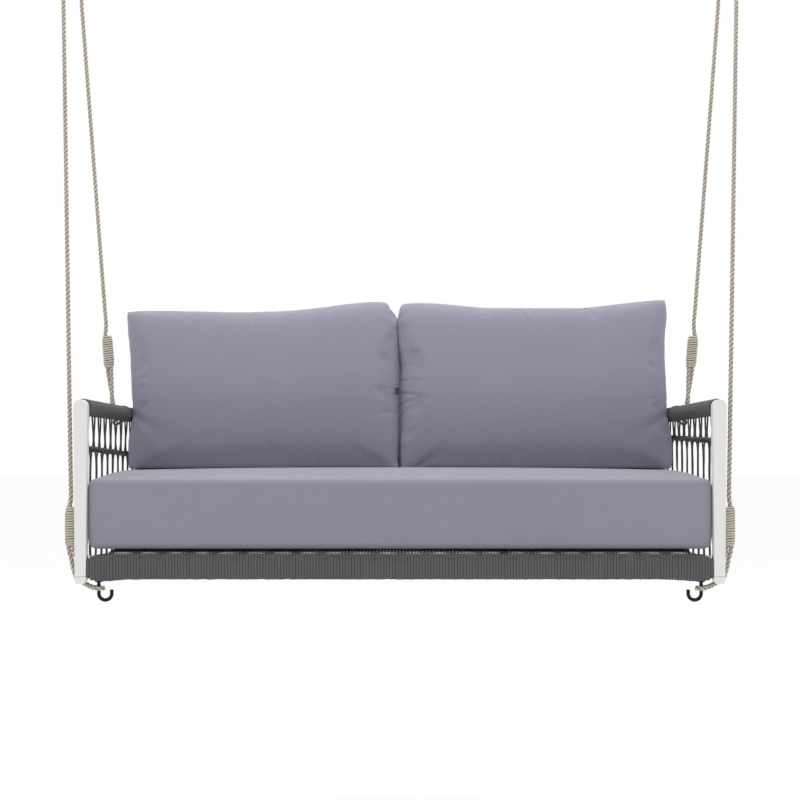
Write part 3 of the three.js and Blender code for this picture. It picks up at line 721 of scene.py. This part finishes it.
# ---- Woven seat ---------------------------------------------------------------------------------
GROUP = 67.3  # the width of one group of strands
GROUPS = 22
STRANDS = 8
ROW_PITCH = 66
CROSS_ROWS = np.arange(85, 680, ROW_PITCH)
STRAND_HALF_THICK, STRAND_HALF_WIDE = 1.6, 4.3
SEAT_WEAVE_Z = RAIL_TOP + 3.2
EDGE_Y, EDGE_Z, EDGE_R = 12, 64.4, 12.1  # the rail's rounded front edge


def arch(x):
    """How far a group's ropes stand up where they cross the front rail."""
    u = (np.asarray(x) / GROUP + GROUPS / 2) % 1 * 2 - 1
    return 3.2 * (1 - u * u)


cords = Cords()
for g in range(GROUPS):
    for k in range(STRANDS):
        x = (g - GROUPS / 2) * GROUP + (k + 0.5) * GROUP / STRANDS
        y = np.concatenate([[24, 30, 37, 46], np.arange(58, 690, 11), [697, 703]])
        over = np.cos(np.pi * (y - CROSS_ROWS[0]) / ROW_PITCH) * (1 if g % 2 else -1)
        z = SEAT_WEAVE_Z + 1.3 * np.clip(over * 1.6, -1, 1) * smoothstep((y - 40) / 30)
        z += (arch(x) - 5.6) * smoothstep((60 - y) / 40)
        z[-2:] -= (1.5, 4)
        path = np.stack([x + 0 * y, y, z], 1)
        normals = np.tile(Z, (len(y), 1))
        cords.add(path, STRAND_HALF_THICK, across=STRAND_HALF_WIDE, normals=normals, sides=6)
for n, y0 in enumerate(CROSS_ROWS):
    for dy in (-4.4, 4.4):
        x = np.arange(-740, 741, 9.0)
        over = np.sin(np.pi * (x / GROUP + GROUPS / 2)) * (-1 if n % 2 else 1)
        z = SEAT_WEAVE_Z + 1.5 * np.clip(over * 2, -1, 1)
        path = np.stack([x, y0 + dy + 0 * x, z], 1)
        normals = np.tile(Z, (len(x), 1))
        cords.add(path, STRAND_HALF_THICK, across=STRAND_HALF_WIDE, normals=normals, sides=6)
x = np.arange(-742, 743, 3.2)
up = 1.6 + 2.4 * arch(x)  # above the middle of the rail's rounded front edge
hem = np.stack([x, EDGE_Y - np.sqrt(EDGE_R**2 - up**2), EDGE_Z + up], 1)
cords.add(hem, 2.0, normals=np.tile(-Y, (len(x), 1)))
cords.build("woven_seat", "swing", "dark_rope", ["seat_weave"])


# ---- Woven sides and back: pairs of strands that change partners at twined rows -----------------
NET_R = 2.45
CHANGE_OVER = 56  # the height over which a strand goes from one neighbour to the other
TWINE_UP, TWINE_OUT = 4.7, 4.4


def net(places, low, high, rows, radius, seed, widen):
    """Strands from high down to low in a flat (across, thickness, up) plane, and the twined rows.

    A row is the heights of its two ends; between rows, neighbours lie together two and two.
    """
    cords = Cords()
    first, last, half_pitch = places[0], places[-1], places[1] - places[0]
    together = half_pitch / 2 - radius - 0.3
    z = np.linspace(high, low, 90)
    for i, place in enumerate(places):
        partner = 1 if i % 2 == 0 else -1
        drift = np.full(len(z), 1.0)
        for k, (near, far) in enumerate(rows):
            level = near + (far - near) * (place - first) / (last - first)
            drift = drift + (-1) ** (k + 1) * 2 * smoothstep((level + CHANGE_OVER / 2 - z) / CHANGE_OVER)
        opened = 0.25 + 0.75 * smoothstep((high - z) / 62)
        across = place + partner * drift * together * opened + 0.8 * ripple(z, seed + i, 190.0)
        path = np.stack([widen(across, z), 0.8 * ripple(z, seed + 100 + i, 150.0), z], 1)
        cords.add(path, radius, sides=7)
    for k, ends in enumerate(rows):
        y = np.arange(first - 10, last + 10, 4.0)
        phase = np.pi * (y - first) / half_pitch
        level = np.interp(y, [first, last], ends) + 1.2 * ripple(y, seed + 300 + k, 210.0)
        for half_turn in (0, math.pi):
            up = level + TWINE_UP * np.sin(phase + half_turn)
            path = np.stack([widen(y, up), TWINE_OUT * np.cos(phase + half_turn), up], 1)
            cords.add(path, radius + 0.8, sides=8)
    return cords


SIDE_FRONT, SIDE_LENGTH, SIDE_LOW, SIDE_HEIGHT, SIDE_EXTRA = 32, 658, 55, 368, 40


def side_widen(y, z):
    """The panel is longer at the arm than at the side rail."""
    return SIDE_FRONT + (y - SIDE_FRONT) * (1 + SIDE_EXTRA / SIDE_LENGTH * (z - SIDE_LOW) / SIDE_HEIGHT)


SIDE_ROWS = {  # each row's height at the front and at the back
    "left": [(342, 328), (228, 220), (116, 114)],
    "right": [(362, 382), (232, 240), (118, 118)],
}
for word, side in SIDES:
    cords = net(np.arange(61.6, 688, 32.5), 52, 428, SIDE_ROWS[word], NET_R, 60 + side, side_widen)
    cords.verts = [v[:, [1, 0, 2]] + (ARM_X, 0, 0) for v in cords.verts]
    cords.faces = [f[::-1] for f in cords.faces]
    cords.build(f"woven_side_{word}", "swing", "dark_rope", [f"side_weave_{word}"], side)

BACK_ROWS = [(z, z) for z in (612, 502, 392, 282, 172)]
cords = net(np.arange(-770.5, 771, 33.5), 66, 724, BACK_ROWS, NET_R, 700, lambda across, up: across)
cords.verts = [leaning(v) for v in cords.verts]
cords.build("woven_back", "swing", "dark_rope", ["back_weave"])

# The wrapping cord's end is knotted under each arm, beside the rear rope.
for word, side in SIDES:
    t = np.arange(0, 4.01, 1 / 30)
    angle = 2 * math.pi * t
    c, s = np.cos(angle), np.sin(angle)
    arm, lump = np.array([815.0, 433.0]), np.array([828.0, 421.5])
    towards = unit(lump - arm)
    share = smoothstep(((c * towards[0] + s * towards[1]) + 0.15) / 0.7)[:, None]
    middle = arm + (lump - arm) * share
    radius = 8.0 - 2.0 * share[:, 0]
    path = np.stack([middle[:, 0] + radius * c, 514 + 5 * t, middle[:, 1] + radius * s], 1)
    cords = Cords()
    cords.add(path, 2.3, normals=np.stack([c, 0 * c, s], 1), sides=7)
    cords.build(f"arm_knot_{word}", "swing", "dark_rope", side=side)


# ---- Posts, hooks and the other hard parts ------------------------------------------------------
def soften(made, width, angle=35):
    """Rounds the edges a little, with flat faces kept flat."""
    made.data.shade_smooth()
    bevel = made.modifiers.new("edges", "BEVEL")
    bevel.width, bevel.segments = width, 3
    bevel.limit_method, bevel.angle_limit = "ANGLE", math.radians(angle)
    bevel.harden_normals = True


def slab(name, outline, y0, y1, place, body, slot, replaces, edge):
    """An outline in (x, z) given thickness from y0 to y1."""
    n = len(outline)
    verts = [(x, y, z) for y in (y0, y1) for x, z in outline]
    sides = [(i, (i + 1) % n, n + (i + 1) % n, n + i) for i in range(n)]
    faces = [tuple(range(n))[::-1], tuple(range(n, 2 * n)), *sides]
    made = piece(name, place(np.array(verts)), faces, body, slot, replaces)
    mesh = bmesh.new()
    mesh.from_mesh(made.data)
    bmesh.ops.recalc_face_normals(mesh, faces=mesh.faces)
    mesh.to_mesh(made.data)
    mesh.free()
    soften(made, edge)
    return made


def post_outline(foot_width, top_width, low, high):
    top = top_width / 2
    angles = np.linspace(0, math.pi, 33)
    head = [(top * math.cos(a), high - top + top * math.sin(a)) for a in angles]
    return [(foot_width / 2, low), *head, (-foot_width / 2, low)]


FRONT_POST = post_outline(foot_width=28.5, top_width=35, low=17.9, high=466)
REAR_POST = post_outline(foot_width=28, top_width=28, low=17.9, high=758)
POST_EDGE = 0.0022  # metres
for word, side in SIDES:
    slab(f"round_post_{word}", FRONT_POST, 0, 26,
         lambda v, side=side: mirrored(v + (ARM_X, 0, 0), side), "swing", "white_powder_coat",
         [f"front_post_{word}"], POST_EDGE)
    slab(f"round_rear_post_{word}", REAR_POST, -12, 12,
         lambda v, side=side: mirrored(leaning(v + (ARM_X, 0, 0)), side), "swing", "white_powder_coat",
         [f"rear_post_{word}"], POST_EDGE)


def lathe(profile, segments):
    """A profile of (radius, height) turned about z, open or starting and ending on the axis."""
    verts, faces = [], []
    for r, h in profile:
        for k in range(segments):
            a = 2 * math.pi * k / segments
            verts.append((r * math.cos(a), r * math.sin(a), h))
    for i in range(len(profile) - 1):
        for k in range(segments):
            a, b = i * segments + k, i * segments + (k + 1) % segments
            faces.append((a, b, b + segments, a + segments))
    return np.array(verts), faces


HOOK_R, HOOK_TIP_R = 4.6, 4.0
HOOK_BEND = 16.4


def hook_path():
    middle = np.array([747.5, 20, -26.0])
    bend = arc(middle, HOOK_BEND, X, Z, 0, -180, 24)
    shank = [(763.9, 20, z) for z in (10.4, 2, -6, -14, -20)]
    return np.array([*shank, *bend, (731.1, 20, -21), (731.1, 20, -16)])


for word, side in SIDES:
    cords = Cords()
    path = hook_path()
    path = np.vstack([path[:1], path[:1] - Z * 0.6, path[1:-1], path[-1:] - Z * 0.6, path[-1:]])
    radius = np.concatenate([[HOOK_TIP_R], np.full(len(path) - 2, HOOK_R), [HOOK_TIP_R]])
    cords.add(path, radius, sides=20)
    cords.build(f"round_hook_{word}", "swing", "black_steel", [f"rail_hook_{word}"], side)

    # The band round the arm is under the wrapping: only its peg shows.
    peg = [(0, 21), (5, 21), (5, 36.4), (6, 37), (8.4, 37), (9, 37.6), (9, 39.9), (8.4, 40.5), (0, 40.5)]
    turned, faces = lathe(peg, 40)
    verts = mirrored(turned[:, [2, 0, 1]] + (ARM_X, REAR_FOOT[1], ARM_Z), side)
    faces = faces if side > 0 else [f[::-1] for f in faces]
    made = piece(f"arm_peg_{word}", verts, faces, "swing", "black_steel", [f"arm_hook_{word}"])
    soften(made, 0.0002)

# The parts that keep their CAD shape.
SLOT_OF = {s["node"]: s["material_slot"] for s in frame["record"]["subparts"]}
for name, made in nodes.items():
    if made.hide_render or name.startswith(("seat_cushion", "back_cushion")):
        continue
    made.data.materials.clear()
    made.data.materials.append(MATERIALS[SLOT_OF[name]])
    custom = made.data.attributes.get("custom_normal")
    if custom:
        made.data.attributes.remove(custom)
    weld = made.modifiers.new("weld", "WELD")
    weld.merge_threshold = 0.00002
    soften(made, 0.0006, 40)
    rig.slot(made, SLOT_OF[name])


# ---- Cushions -----------------------------------------------------------------------------------
VOXEL, PILLOW_CAP = 0.008, 0.007  # metres
PRESSURE, SLACK, CLOTH_FRAMES = 3.0, 0.012, 20
PILLOW_FILL, BOX_FILL = 0.75, 0.9
PILLOW_KEEP, BOX_KEEP = 0.985, 0.978  # widths left when lifted past the arms


def dense(made, voxel):
    """Rebuilds a piece as even quads of about the voxel's size."""
    remesh = made.modifiers.new("remesh", "REMESH")
    remesh.mode, remesh.voxel_size = "VOXEL", voxel
    bake(made)


def bake(made):
    evaluated = made.evaluated_get(bpy.context.evaluated_depsgraph_get())
    mesh = bpy.data.meshes.new_from_object(evaluated)
    made.modifiers.clear()
    made.data = mesh
    mesh.shade_smooth()


def places(made):
    co = np.empty(len(made.data.vertices) * 3, np.float32)
    made.data.vertices.foreach_get("co", co)
    return co.reshape(-1, 3).astype(float)


def inflate(made, cap):
    """Cloth under pressure with a little spare fabric; no point moves further than cap metres."""
    before = places(made)
    cloth = made.modifiers.new("cloth", "CLOTH")
    cloth.settings.use_pressure = True
    cloth.settings.uniform_pressure_force = PRESSURE
    cloth.settings.shrink_min = -SLACK
    cloth.settings.quality = 3
    cloth.settings.mass = 0.3
    cloth.settings.effector_weights.gravity = 0
    cloth.point_cache.frame_start, cloth.point_cache.frame_end = 1, CLOTH_FRAMES
    for step in range(1, CLOTH_FRAMES + 1):
        scene.frame_set(step)
    bake(made)
    after = places(made)
    move = after - before
    far = np.linalg.norm(move, axis=1, keepdims=True)
    move *= np.where(far > 0, cap * np.tanh(far / cap) / np.maximum(far, 1e-9), 1)
    scene.frame_set(1)
    made.data.vertices.foreach_set("co", (before + move).astype(np.float32).ravel())
    made.data.update()
    return before, move


def subdivided(made):
    made.modifiers.new("fine", "SUBSURF").levels = 1
    made.modifiers["fine"].render_levels = 1
    bake(made)


def normals_of(made):
    out = np.empty(len(made.data.vertices) * 3, np.float32)
    made.data.vertex_normals.foreach_get("vector", out)
    return out.reshape(-1, 3).astype(float)


def crease(co, normals, start_at, direction, length, width, depth):
    """A sewn-in pucker: a groove with soft banks, running from start_at and dying out."""
    seat = (co - SEAT_ORIGIN) * 1000
    d = np.array(direction, float)
    d /= np.linalg.norm(d)
    rel = seat[:, [0, 2]] - np.array(start_at, float)
    along = rel @ d
    across = rel @ np.array([-d[1], d[0]])
    spread = width * (0.55 + 0.9 * np.clip(along / length, 0, 1))
    fade = smoothstep((along + 0.25 * length) / (0.3 * length)) * (1 - smoothstep(along / length))
    q = (across / spread) ** 2
    shape = (1 - 1.3 * q) * np.exp(-q)
    front = smoothstep((0.15 - normals[:, 1]) / 0.5)
    return -(depth * 0.001 * shape * fade * front)[:, None] * normals


def loft(name, sheet, nu, nv, body, replaces):
    """Two sheets over a (u, v) grid that meet along their edge."""
    u, v = np.meshgrid(np.linspace(-1, 1, nu), np.linspace(-1, 1, nv), indexing="ij")
    ease = lambda q: np.sin(q * math.pi / 2) * 0.6 + q * 0.4
    u, v = ease(u), ease(v)
    front, back = sheet(u, v, 1), sheet(u, v, -1)
    index = np.arange(nu * nv).reshape(nu, nv)
    other = index + nu * nv
    edge = np.zeros((nu, nv), bool)
    edge[[0, -1], :] = edge[:, [0, -1]] = True
    other = np.where(edge, index, other)
    faces = []
    for grid, turn in ((index, False), (other, True)):
        q = np.stack([grid[:-1, :-1], grid[1:, :-1], grid[1:, 1:], grid[:-1, 1:]], -1).reshape(-1, 4)
        faces += (q[:, ::-1] if turn else q).tolist()
    verts = np.vstack([front.reshape(-1, 3), back.reshape(-1, 3)])
    return piece(name, verts, faces, body, "cushion_fabric", replaces)


def profile(q, sharp, power):
    return np.maximum(1 - np.abs(q) ** sharp, 0) ** power


# Each back cushion's outline from the front: heights and distances from the middle of the seat
# for its two sides, and for the top, shares of its width and heights.
OUTLINES = {
    "left": {
        "outer": (
            [285, 368, 415, 447, 480, 540, 633, 720, 771],
            [796, 797, 791, 786, 789, 797, 810, 824, 830],
        ),
        "inner": (
            [285, 304, 360, 430, 490, 560, 638, 700, 744, 801],
            [-6, 0.5, 1.5, 5, 11, 13, 14, 14.5, 16, 36],
        ),
        "top": (
            [0, 0.06, 0.17, 0.3, 0.42, 0.52, 0.56, 0.75, 1],
            [801, 800, 790, 779, 771, 768.5, 767, 767, 769],
        ),
    },
    "right": {
        "outer": (
            [285, 293, 368, 415, 447, 480, 540, 619, 720, 753, 800],
            [795, 799, 800, 791, 786, 785, 787, 790, 802, 808, 807],
        ),
        "inner": (
            [285, 304, 360, 430, 480, 520, 560, 600, 638, 735, 797],
            [-6, -1, -4, 3, 8.5, 8, 9, 7, -4, -10, 2],
        ),
        "top": (
            [0, 0.05, 0.12, 0.31, 0.4, 0.49, 0.7, 0.86, 1],
            [795, 797, 794, 782, 781, 780, 780, 793, 806],
        ),
    },
}
# Depths from the posts' front plane, at shares of a back cushion's height.
OUTER_SEAM = ([0, 0.35, 0.5, 1], [530, 530, 556, 692])
PILLOW_FRONT = ([0, 0.08, 0.2, 0.35, 0.5, 0.75, 1], [522, 516, 514, 520, 536, 584, 640])
SEAM_LOW, SEAM_RISE = 534, 176
BACKREST_Y = 676  # where the cushions' backs would reach the height of the feet
PILLOW_LOW = 282.5  # sunk a little into the crown of the seat cushion
CORNER_DIP = 25  # how much further the inner corner sinks in
SIDE_WALL = 0.075  # share of the width that the back sheet spends on the boxed side
INNER_FULL = 0.7  # how full the inner edge is, next to the middle's 1
CUSHION_GAP = 0.4  # from the middle of the seat to a cushion where the two meet
PART_Z, PART_OVER = 725, 35  # the two part from this height upwards


def smooth_interp(x, xs, ys, share=0.03):
    """Interpolation with its corners rounded by averaging over a share of the range."""
    span = (xs[-1] - xs[0]) * share
    return np.mean([np.interp(x + d * span, xs, ys) for d in np.linspace(-1, 1, 7)], axis=0)


def back_sheet(word, side):
    """A knife-edged pillow, but with a boxed side where the two meet."""
    lines = OUTLINES[word]

    def sheet(u, v, face):
        across, up = (1 + u * side) / 2, (1 + v) / 2
        top = smooth_interp(across, *lines["top"])
        low = PILLOW_LOW - CORNER_DIP * (1 - smoothstep(across / 0.12))
        z = low + (top - low) * up * (1 - 0.009 * np.abs(u) ** 6)
        inner, outer = smooth_interp(z, *lines["inner"]), smooth_interp(z, *lines["outer"])
        x = inner + (outer - inner) * across
        outer_seam, front = (smooth_interp(up, *line, 0.08) for line in (OUTER_SEAM, PILLOW_FRONT))
        edge = SEAM_LOW + SEAM_RISE * up + (outer_seam - SEAM_LOW - SEAM_RISE * up) * smoothstep(across)
        tall = profile(v, 9, 0.42)
        wide = profile(2 * across - 1, 9, 0.42)
        wide = np.where(across < 0.5, INNER_FULL + (1 - INNER_FULL) * wide, wide)
        y = edge - (edge - front) * wide * tall
        if face < 0:
            flat = BACKREST_Y + z * math.tan(LEAN)
            t = across / SIDE_WALL
            wall = smoothstep(t / 0.25) * (1 - smoothstep((t - 0.7) / 0.3))
            meeting = CUSHION_GAP + (inner - CUSHION_GAP) * smoothstep((z - PART_Z) / PART_OVER)
            full = np.where(across < 0.5, smoothstep(t), np.minimum(1, wide * 1.15))
            behind = edge + (flat - edge) * np.minimum(1, tall * 1.15)
            y_edge = np.where(across < 0.5, y, edge)
            y = y_edge + (behind - y_edge) * full
            x = x + (meeting - x) * wall * np.minimum(1, tall)
        return np.stack([x * side, y, z], -1)

    return sheet


def box_grid(*axes):
    """Points and faces of a box whose faces are gridded at the given coordinates."""
    index, verts, faces = {}, [], []

    def at(key):
        if key not in index:
            index[key] = len(verts)
            verts.append([axes[d][key[d]] for d in range(3)])
        return index[key]

    for d in range(3):
        a, b = (d + 1) % 3, (d + 2) % 3
        for end in (0, len(axes[d]) - 1):
            for p in range(len(axes[a]) - 1):
                for q in range(len(axes[b]) - 1):
                    corners = []
                    for i, j in ((p, q), (p + 1, q), (p + 1, q + 1), (p, q + 1)):
                        key = [0, 0, 0]
                        key[d], key[a], key[b] = end, i, j
                        corners.append(at(tuple(key)))
                    faces.append(corners if end else corners[::-1])
    return np.array(verts), faces


BOX_LOW, BOX_HIGH, BOX_EDGE = np.array([-784.6, 6, 87]), np.array([784.6, 694, 263]), 16
BOX_THICK = 180


def seat_block():
    """The seat cushion: flat below, crowned on top, with rounded edges and a bulging front."""
    low, high, radius = BOX_LOW, BOX_HIGH, BOX_EDGE
    ends = radius * (1 - np.tan(np.radians(np.linspace(45, 0, 6))))
    axes = []
    for first, last, cells in zip(low, high, (90, 40, 12)):
        flat = np.linspace(first + radius, last - radius, cells)[1:-1]
        axes.append(np.concatenate([first + ends, flat, last - ends[::-1]]))
    verts, faces = box_grid(*axes)
    core = np.clip(verts, low + radius, high - radius)
    edge = verts - core
    edge = unit(edge) * np.max(np.abs(edge), axis=1, keepdims=True)
    x, y, z = (core + edge).T
    u = np.abs(x) / 785
    crown = 21 * (1 - ((y - 470) / 465) ** 2) + 8 * (1 - u**2.5) * (1 - ((y - 400) / 395) ** 2)
    z = z + crown * smoothstep((z - 150) / 113)
    middle = 1 - (2 * (z - BOX_LOW[2]) / BOX_THICK - 1).clip(-1, 1) ** 2
    near = smoothstep((40 - y) / 40)
    y = y - 2.5 * near * middle * (1 - u**12) + 12 * near * ((155 - z) / 68).clip(0, 1) ** 2
    bulge = np.interp(y, [22, 36, 640, 694], [5.2, 13.5, 13.5, 0])  # held in between the posts
    x = x + np.sign(x) * bulge * smoothstep((u - 0.97) / 0.03) * np.where(y < 22, 1, middle**0.25)
    return np.stack([x, y, z], 1), faces


SEAM_R = 1.1


def follow(points, before, move):
    """Seam points drawn onto the cloth and carried along with it, in seat millimetres."""
    tree = KDTree(len(before))
    for i, p in enumerate(before):
        tree.insert(p, i)
    tree.balance()
    start = row(points)
    shift = []
    for p in start:
        near = [i for _, i, _ in tree.find_n(Vector(p), 3)]
        shift.append((before[near] + move[near]).mean(0) - p)
    shift = np.mean([np.roll(shift, k, axis=0) for k in range(-2, 3)], axis=0)
    return (start + shift - SEAT_ORIGIN) * 1000


def seam(name, path, body):
    cords = Cords()
    cords.add(path, SEAM_R, sides=6)
    return cords.build(name, body, "cushion_fabric")


def finish_cushion(made, creases, fill):
    """Puckers, cloth and padding for a shape that is ready otherwise."""
    subdivided(made)
    co, normals = places(made), normals_of(made)
    shift = sum((crease(co, normals, *c) for c in creases), np.zeros_like(co))
    made.data.vertices.foreach_set("co", (co + shift).astype(np.float32).ravel())
    made.data.update()
    made.data.materials.clear()
    made.data.materials.append(MATERIALS["cushion_fabric"])
    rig.padded(made, fill)


# Each pucker: where it starts (x, z), its direction, and its length, width and depth.
CREASES = {
    "left": [
        ((-446, 770), (0.18, -1), 80, 9, 3.6), ((-470, 772), (-0.3, -1), 55, 8, 2.0),
        ((-240, 300), (-0.2, 1), 50, 9, 2.6), ((-415, 298), (0.15, 1), 45, 8, 2.6),
        ((-560, 300), (-0.1, 1), 50, 10, 2.4), ((-650, 300), (0.2, 1), 45, 9, 2.2),
        ((-330, 298), (0.1, 1), 40, 8, 2.0), ((-110, 300), (0.2, 1), 50, 10, 2.0),
        ((-14, 520), (-1, 0.1), 90, 10, 1.2), ((-14, 452), (-1, -0.06), 100, 11, 1.2),
        ((-770, 440), (1, -0.66), 165, 28, 5.5),
    ],
    "right": [
        ((318, 786), (0.35, -1), 75, 8, 3.6), ((352, 786), (0.42, -1), 95, 9, 5.0),
        ((388, 784), (0.3, -1), 70, 8, 3.0), ((556, 783), (0.5, -1), 75, 9, 4.0),
        ((250, 786), (0.1, -1), 55, 8, 2.0), ((2, 512), (1, -0.22), 110, 9, 3.0),
        ((4, 548), (1, -0.02), 90, 9, 1.8), ((6, 478), (1, 0.3), 90, 9, 2.4),
        ((0, 442), (1, 0.6), 70, 9, 1.6), ((6, 590), (1, 0.12), 90, 10, 1.4),
        ((230, 300), (0.15, 1), 50, 9, 2.6), ((300, 298), (-0.1, 1), 50, 8, 2.2),
        ((560, 298), (0.2, 1), 50, 9, 2.6), ((640, 300), (-0.2, 1), 45, 8, 2.2),
        ((60, 300), (1, 0.5), 90, 12, 2.4), ((770, 440), (-1, -0.66), 165, 28, 5.5),
    ],
}

for word, side in SIDES:
    sheet = back_sheet(word, side)
    body = f"back_cushion_{word}"
    made = loft(f"pillow_{word}", sheet, 150, 90, body, [body])
    dense(made, VOXEL)
    before, move = places(made), np.zeros((len(made.data.vertices), 3))
    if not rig.quick():
        before, move = inflate(made, PILLOW_CAP)
    finish_cushion(made, CREASES[word], PILLOW_FILL)
    run = np.linspace(-1, 1, 160)
    loop = [(run, run * 0 - 1), (run * 0 + 1, run), (-run, run * 0 + 1), (run * 0 - 1, -run)]
    u, v = (np.concatenate([part[i][:-1] for part in loop] + [loop[0][i][:1]]) for i in (0, 1))
    edge = seam(f"pillow_seam_{word}", follow(sheet(u, v, 1), before, move), body)
    for soft in (made, edge):
        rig.squash(soft, f"back_cushion_{word}_lift", axis=(1, 0, 0), anchor=(0, 0, 0), keep=PILLOW_KEEP)

made = piece("box_cushion", *seat_block(), "seat_cushion", "cushion_fabric", ["seat_cushion"])
starts = ((-690, 0.3), (-120, -0.2), (420, 0.25), (700, -0.3))
finish_cushion(made, [((x, 262), (lean, -1), 60, 14, 1.2) for x, lean in starts], BOX_FILL)
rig.squash(made, "seat_cushion_lift", axis=(1, 0, 0), anchor=(0, 0, 0), keep=BOX_KEEP)

# The zip's tab in the cleft between the back cushions.
tab = [(-14, 505), (-2.5, 505), (-2.5, 525), (-14, 525)]
slab("zip_tab", tab, 543.5, 546, lambda v: v, "back_cushion_left", "zip_tab", ["zip_pull"], 0.0008)

# ---- Floor and light ----------------------------------------------------------------------------
FLOOR_Z = -760  # millimetres from the posts' feet
FLOOR_HALF = 90  # metres
floor_material, tree, shader = start("floor", 0.9, Specular_IOR_Level=0.1)
pale = mixed(tree, noise(tree, object_place(tree), 1.2), (0.965, 0.965, 0.965, 1), (0.985, 0.985, 0.985, 1))
tree.links.new(pale, shader.inputs["Base Color"])
floor_mesh = bpy.data.meshes.new("floor")
z = row((0, 0, FLOOR_Z))[2]
corners = [(x * FLOOR_HALF, y * FLOOR_HALF, z) for x, y in ((-1, -1), (1, -1), (1, 1), (-1, 1))]
floor_mesh.from_pydata(corners, [], [(0, 1, 2, 3)])
floor_mesh.materials.append(floor_material)
floor = bpy.data.objects.new("floor", floor_mesh)
scene.collection.objects.link(floor)
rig.stage(floor)

world = bpy.data.worlds.new("world")
world.use_nodes = True
world.node_tree.nodes["Background"].inputs["Color"].default_value = (1, 1, 1, 1)
world.node_tree.nodes["Background"].inputs["Strength"].default_value = 1.0
scene.world = world
scene.view_settings.view_transform = "Standard"

# A softbox overhead, a little behind the seat.
LAMP_AT, LAMP_TO, LAMP_SIZE, LAMP_POWER = Vector((0, 0.65, 1.4)), Vector((0, 0.2, -1.7)), 2.6, 66
lamp_data = bpy.data.lights.new("overhead", "AREA")
lamp_data.shape, lamp_data.size, lamp_data.energy = "SQUARE", LAMP_SIZE, LAMP_POWER
lamp = bpy.data.objects.new("overhead", lamp_data)
lamp.location = LAMP_AT
lamp.rotation_euler = (LAMP_TO - LAMP_AT).to_track_quat("-Z", "Y").to_euler()
scene.collection.objects.link(lamp)

visual_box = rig.bounds()
with open("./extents.json", "w") as out:
    json.dump({"cad": [list(c) for c in cad_box], "visual": [list(c) for c in visual_box]}, out)
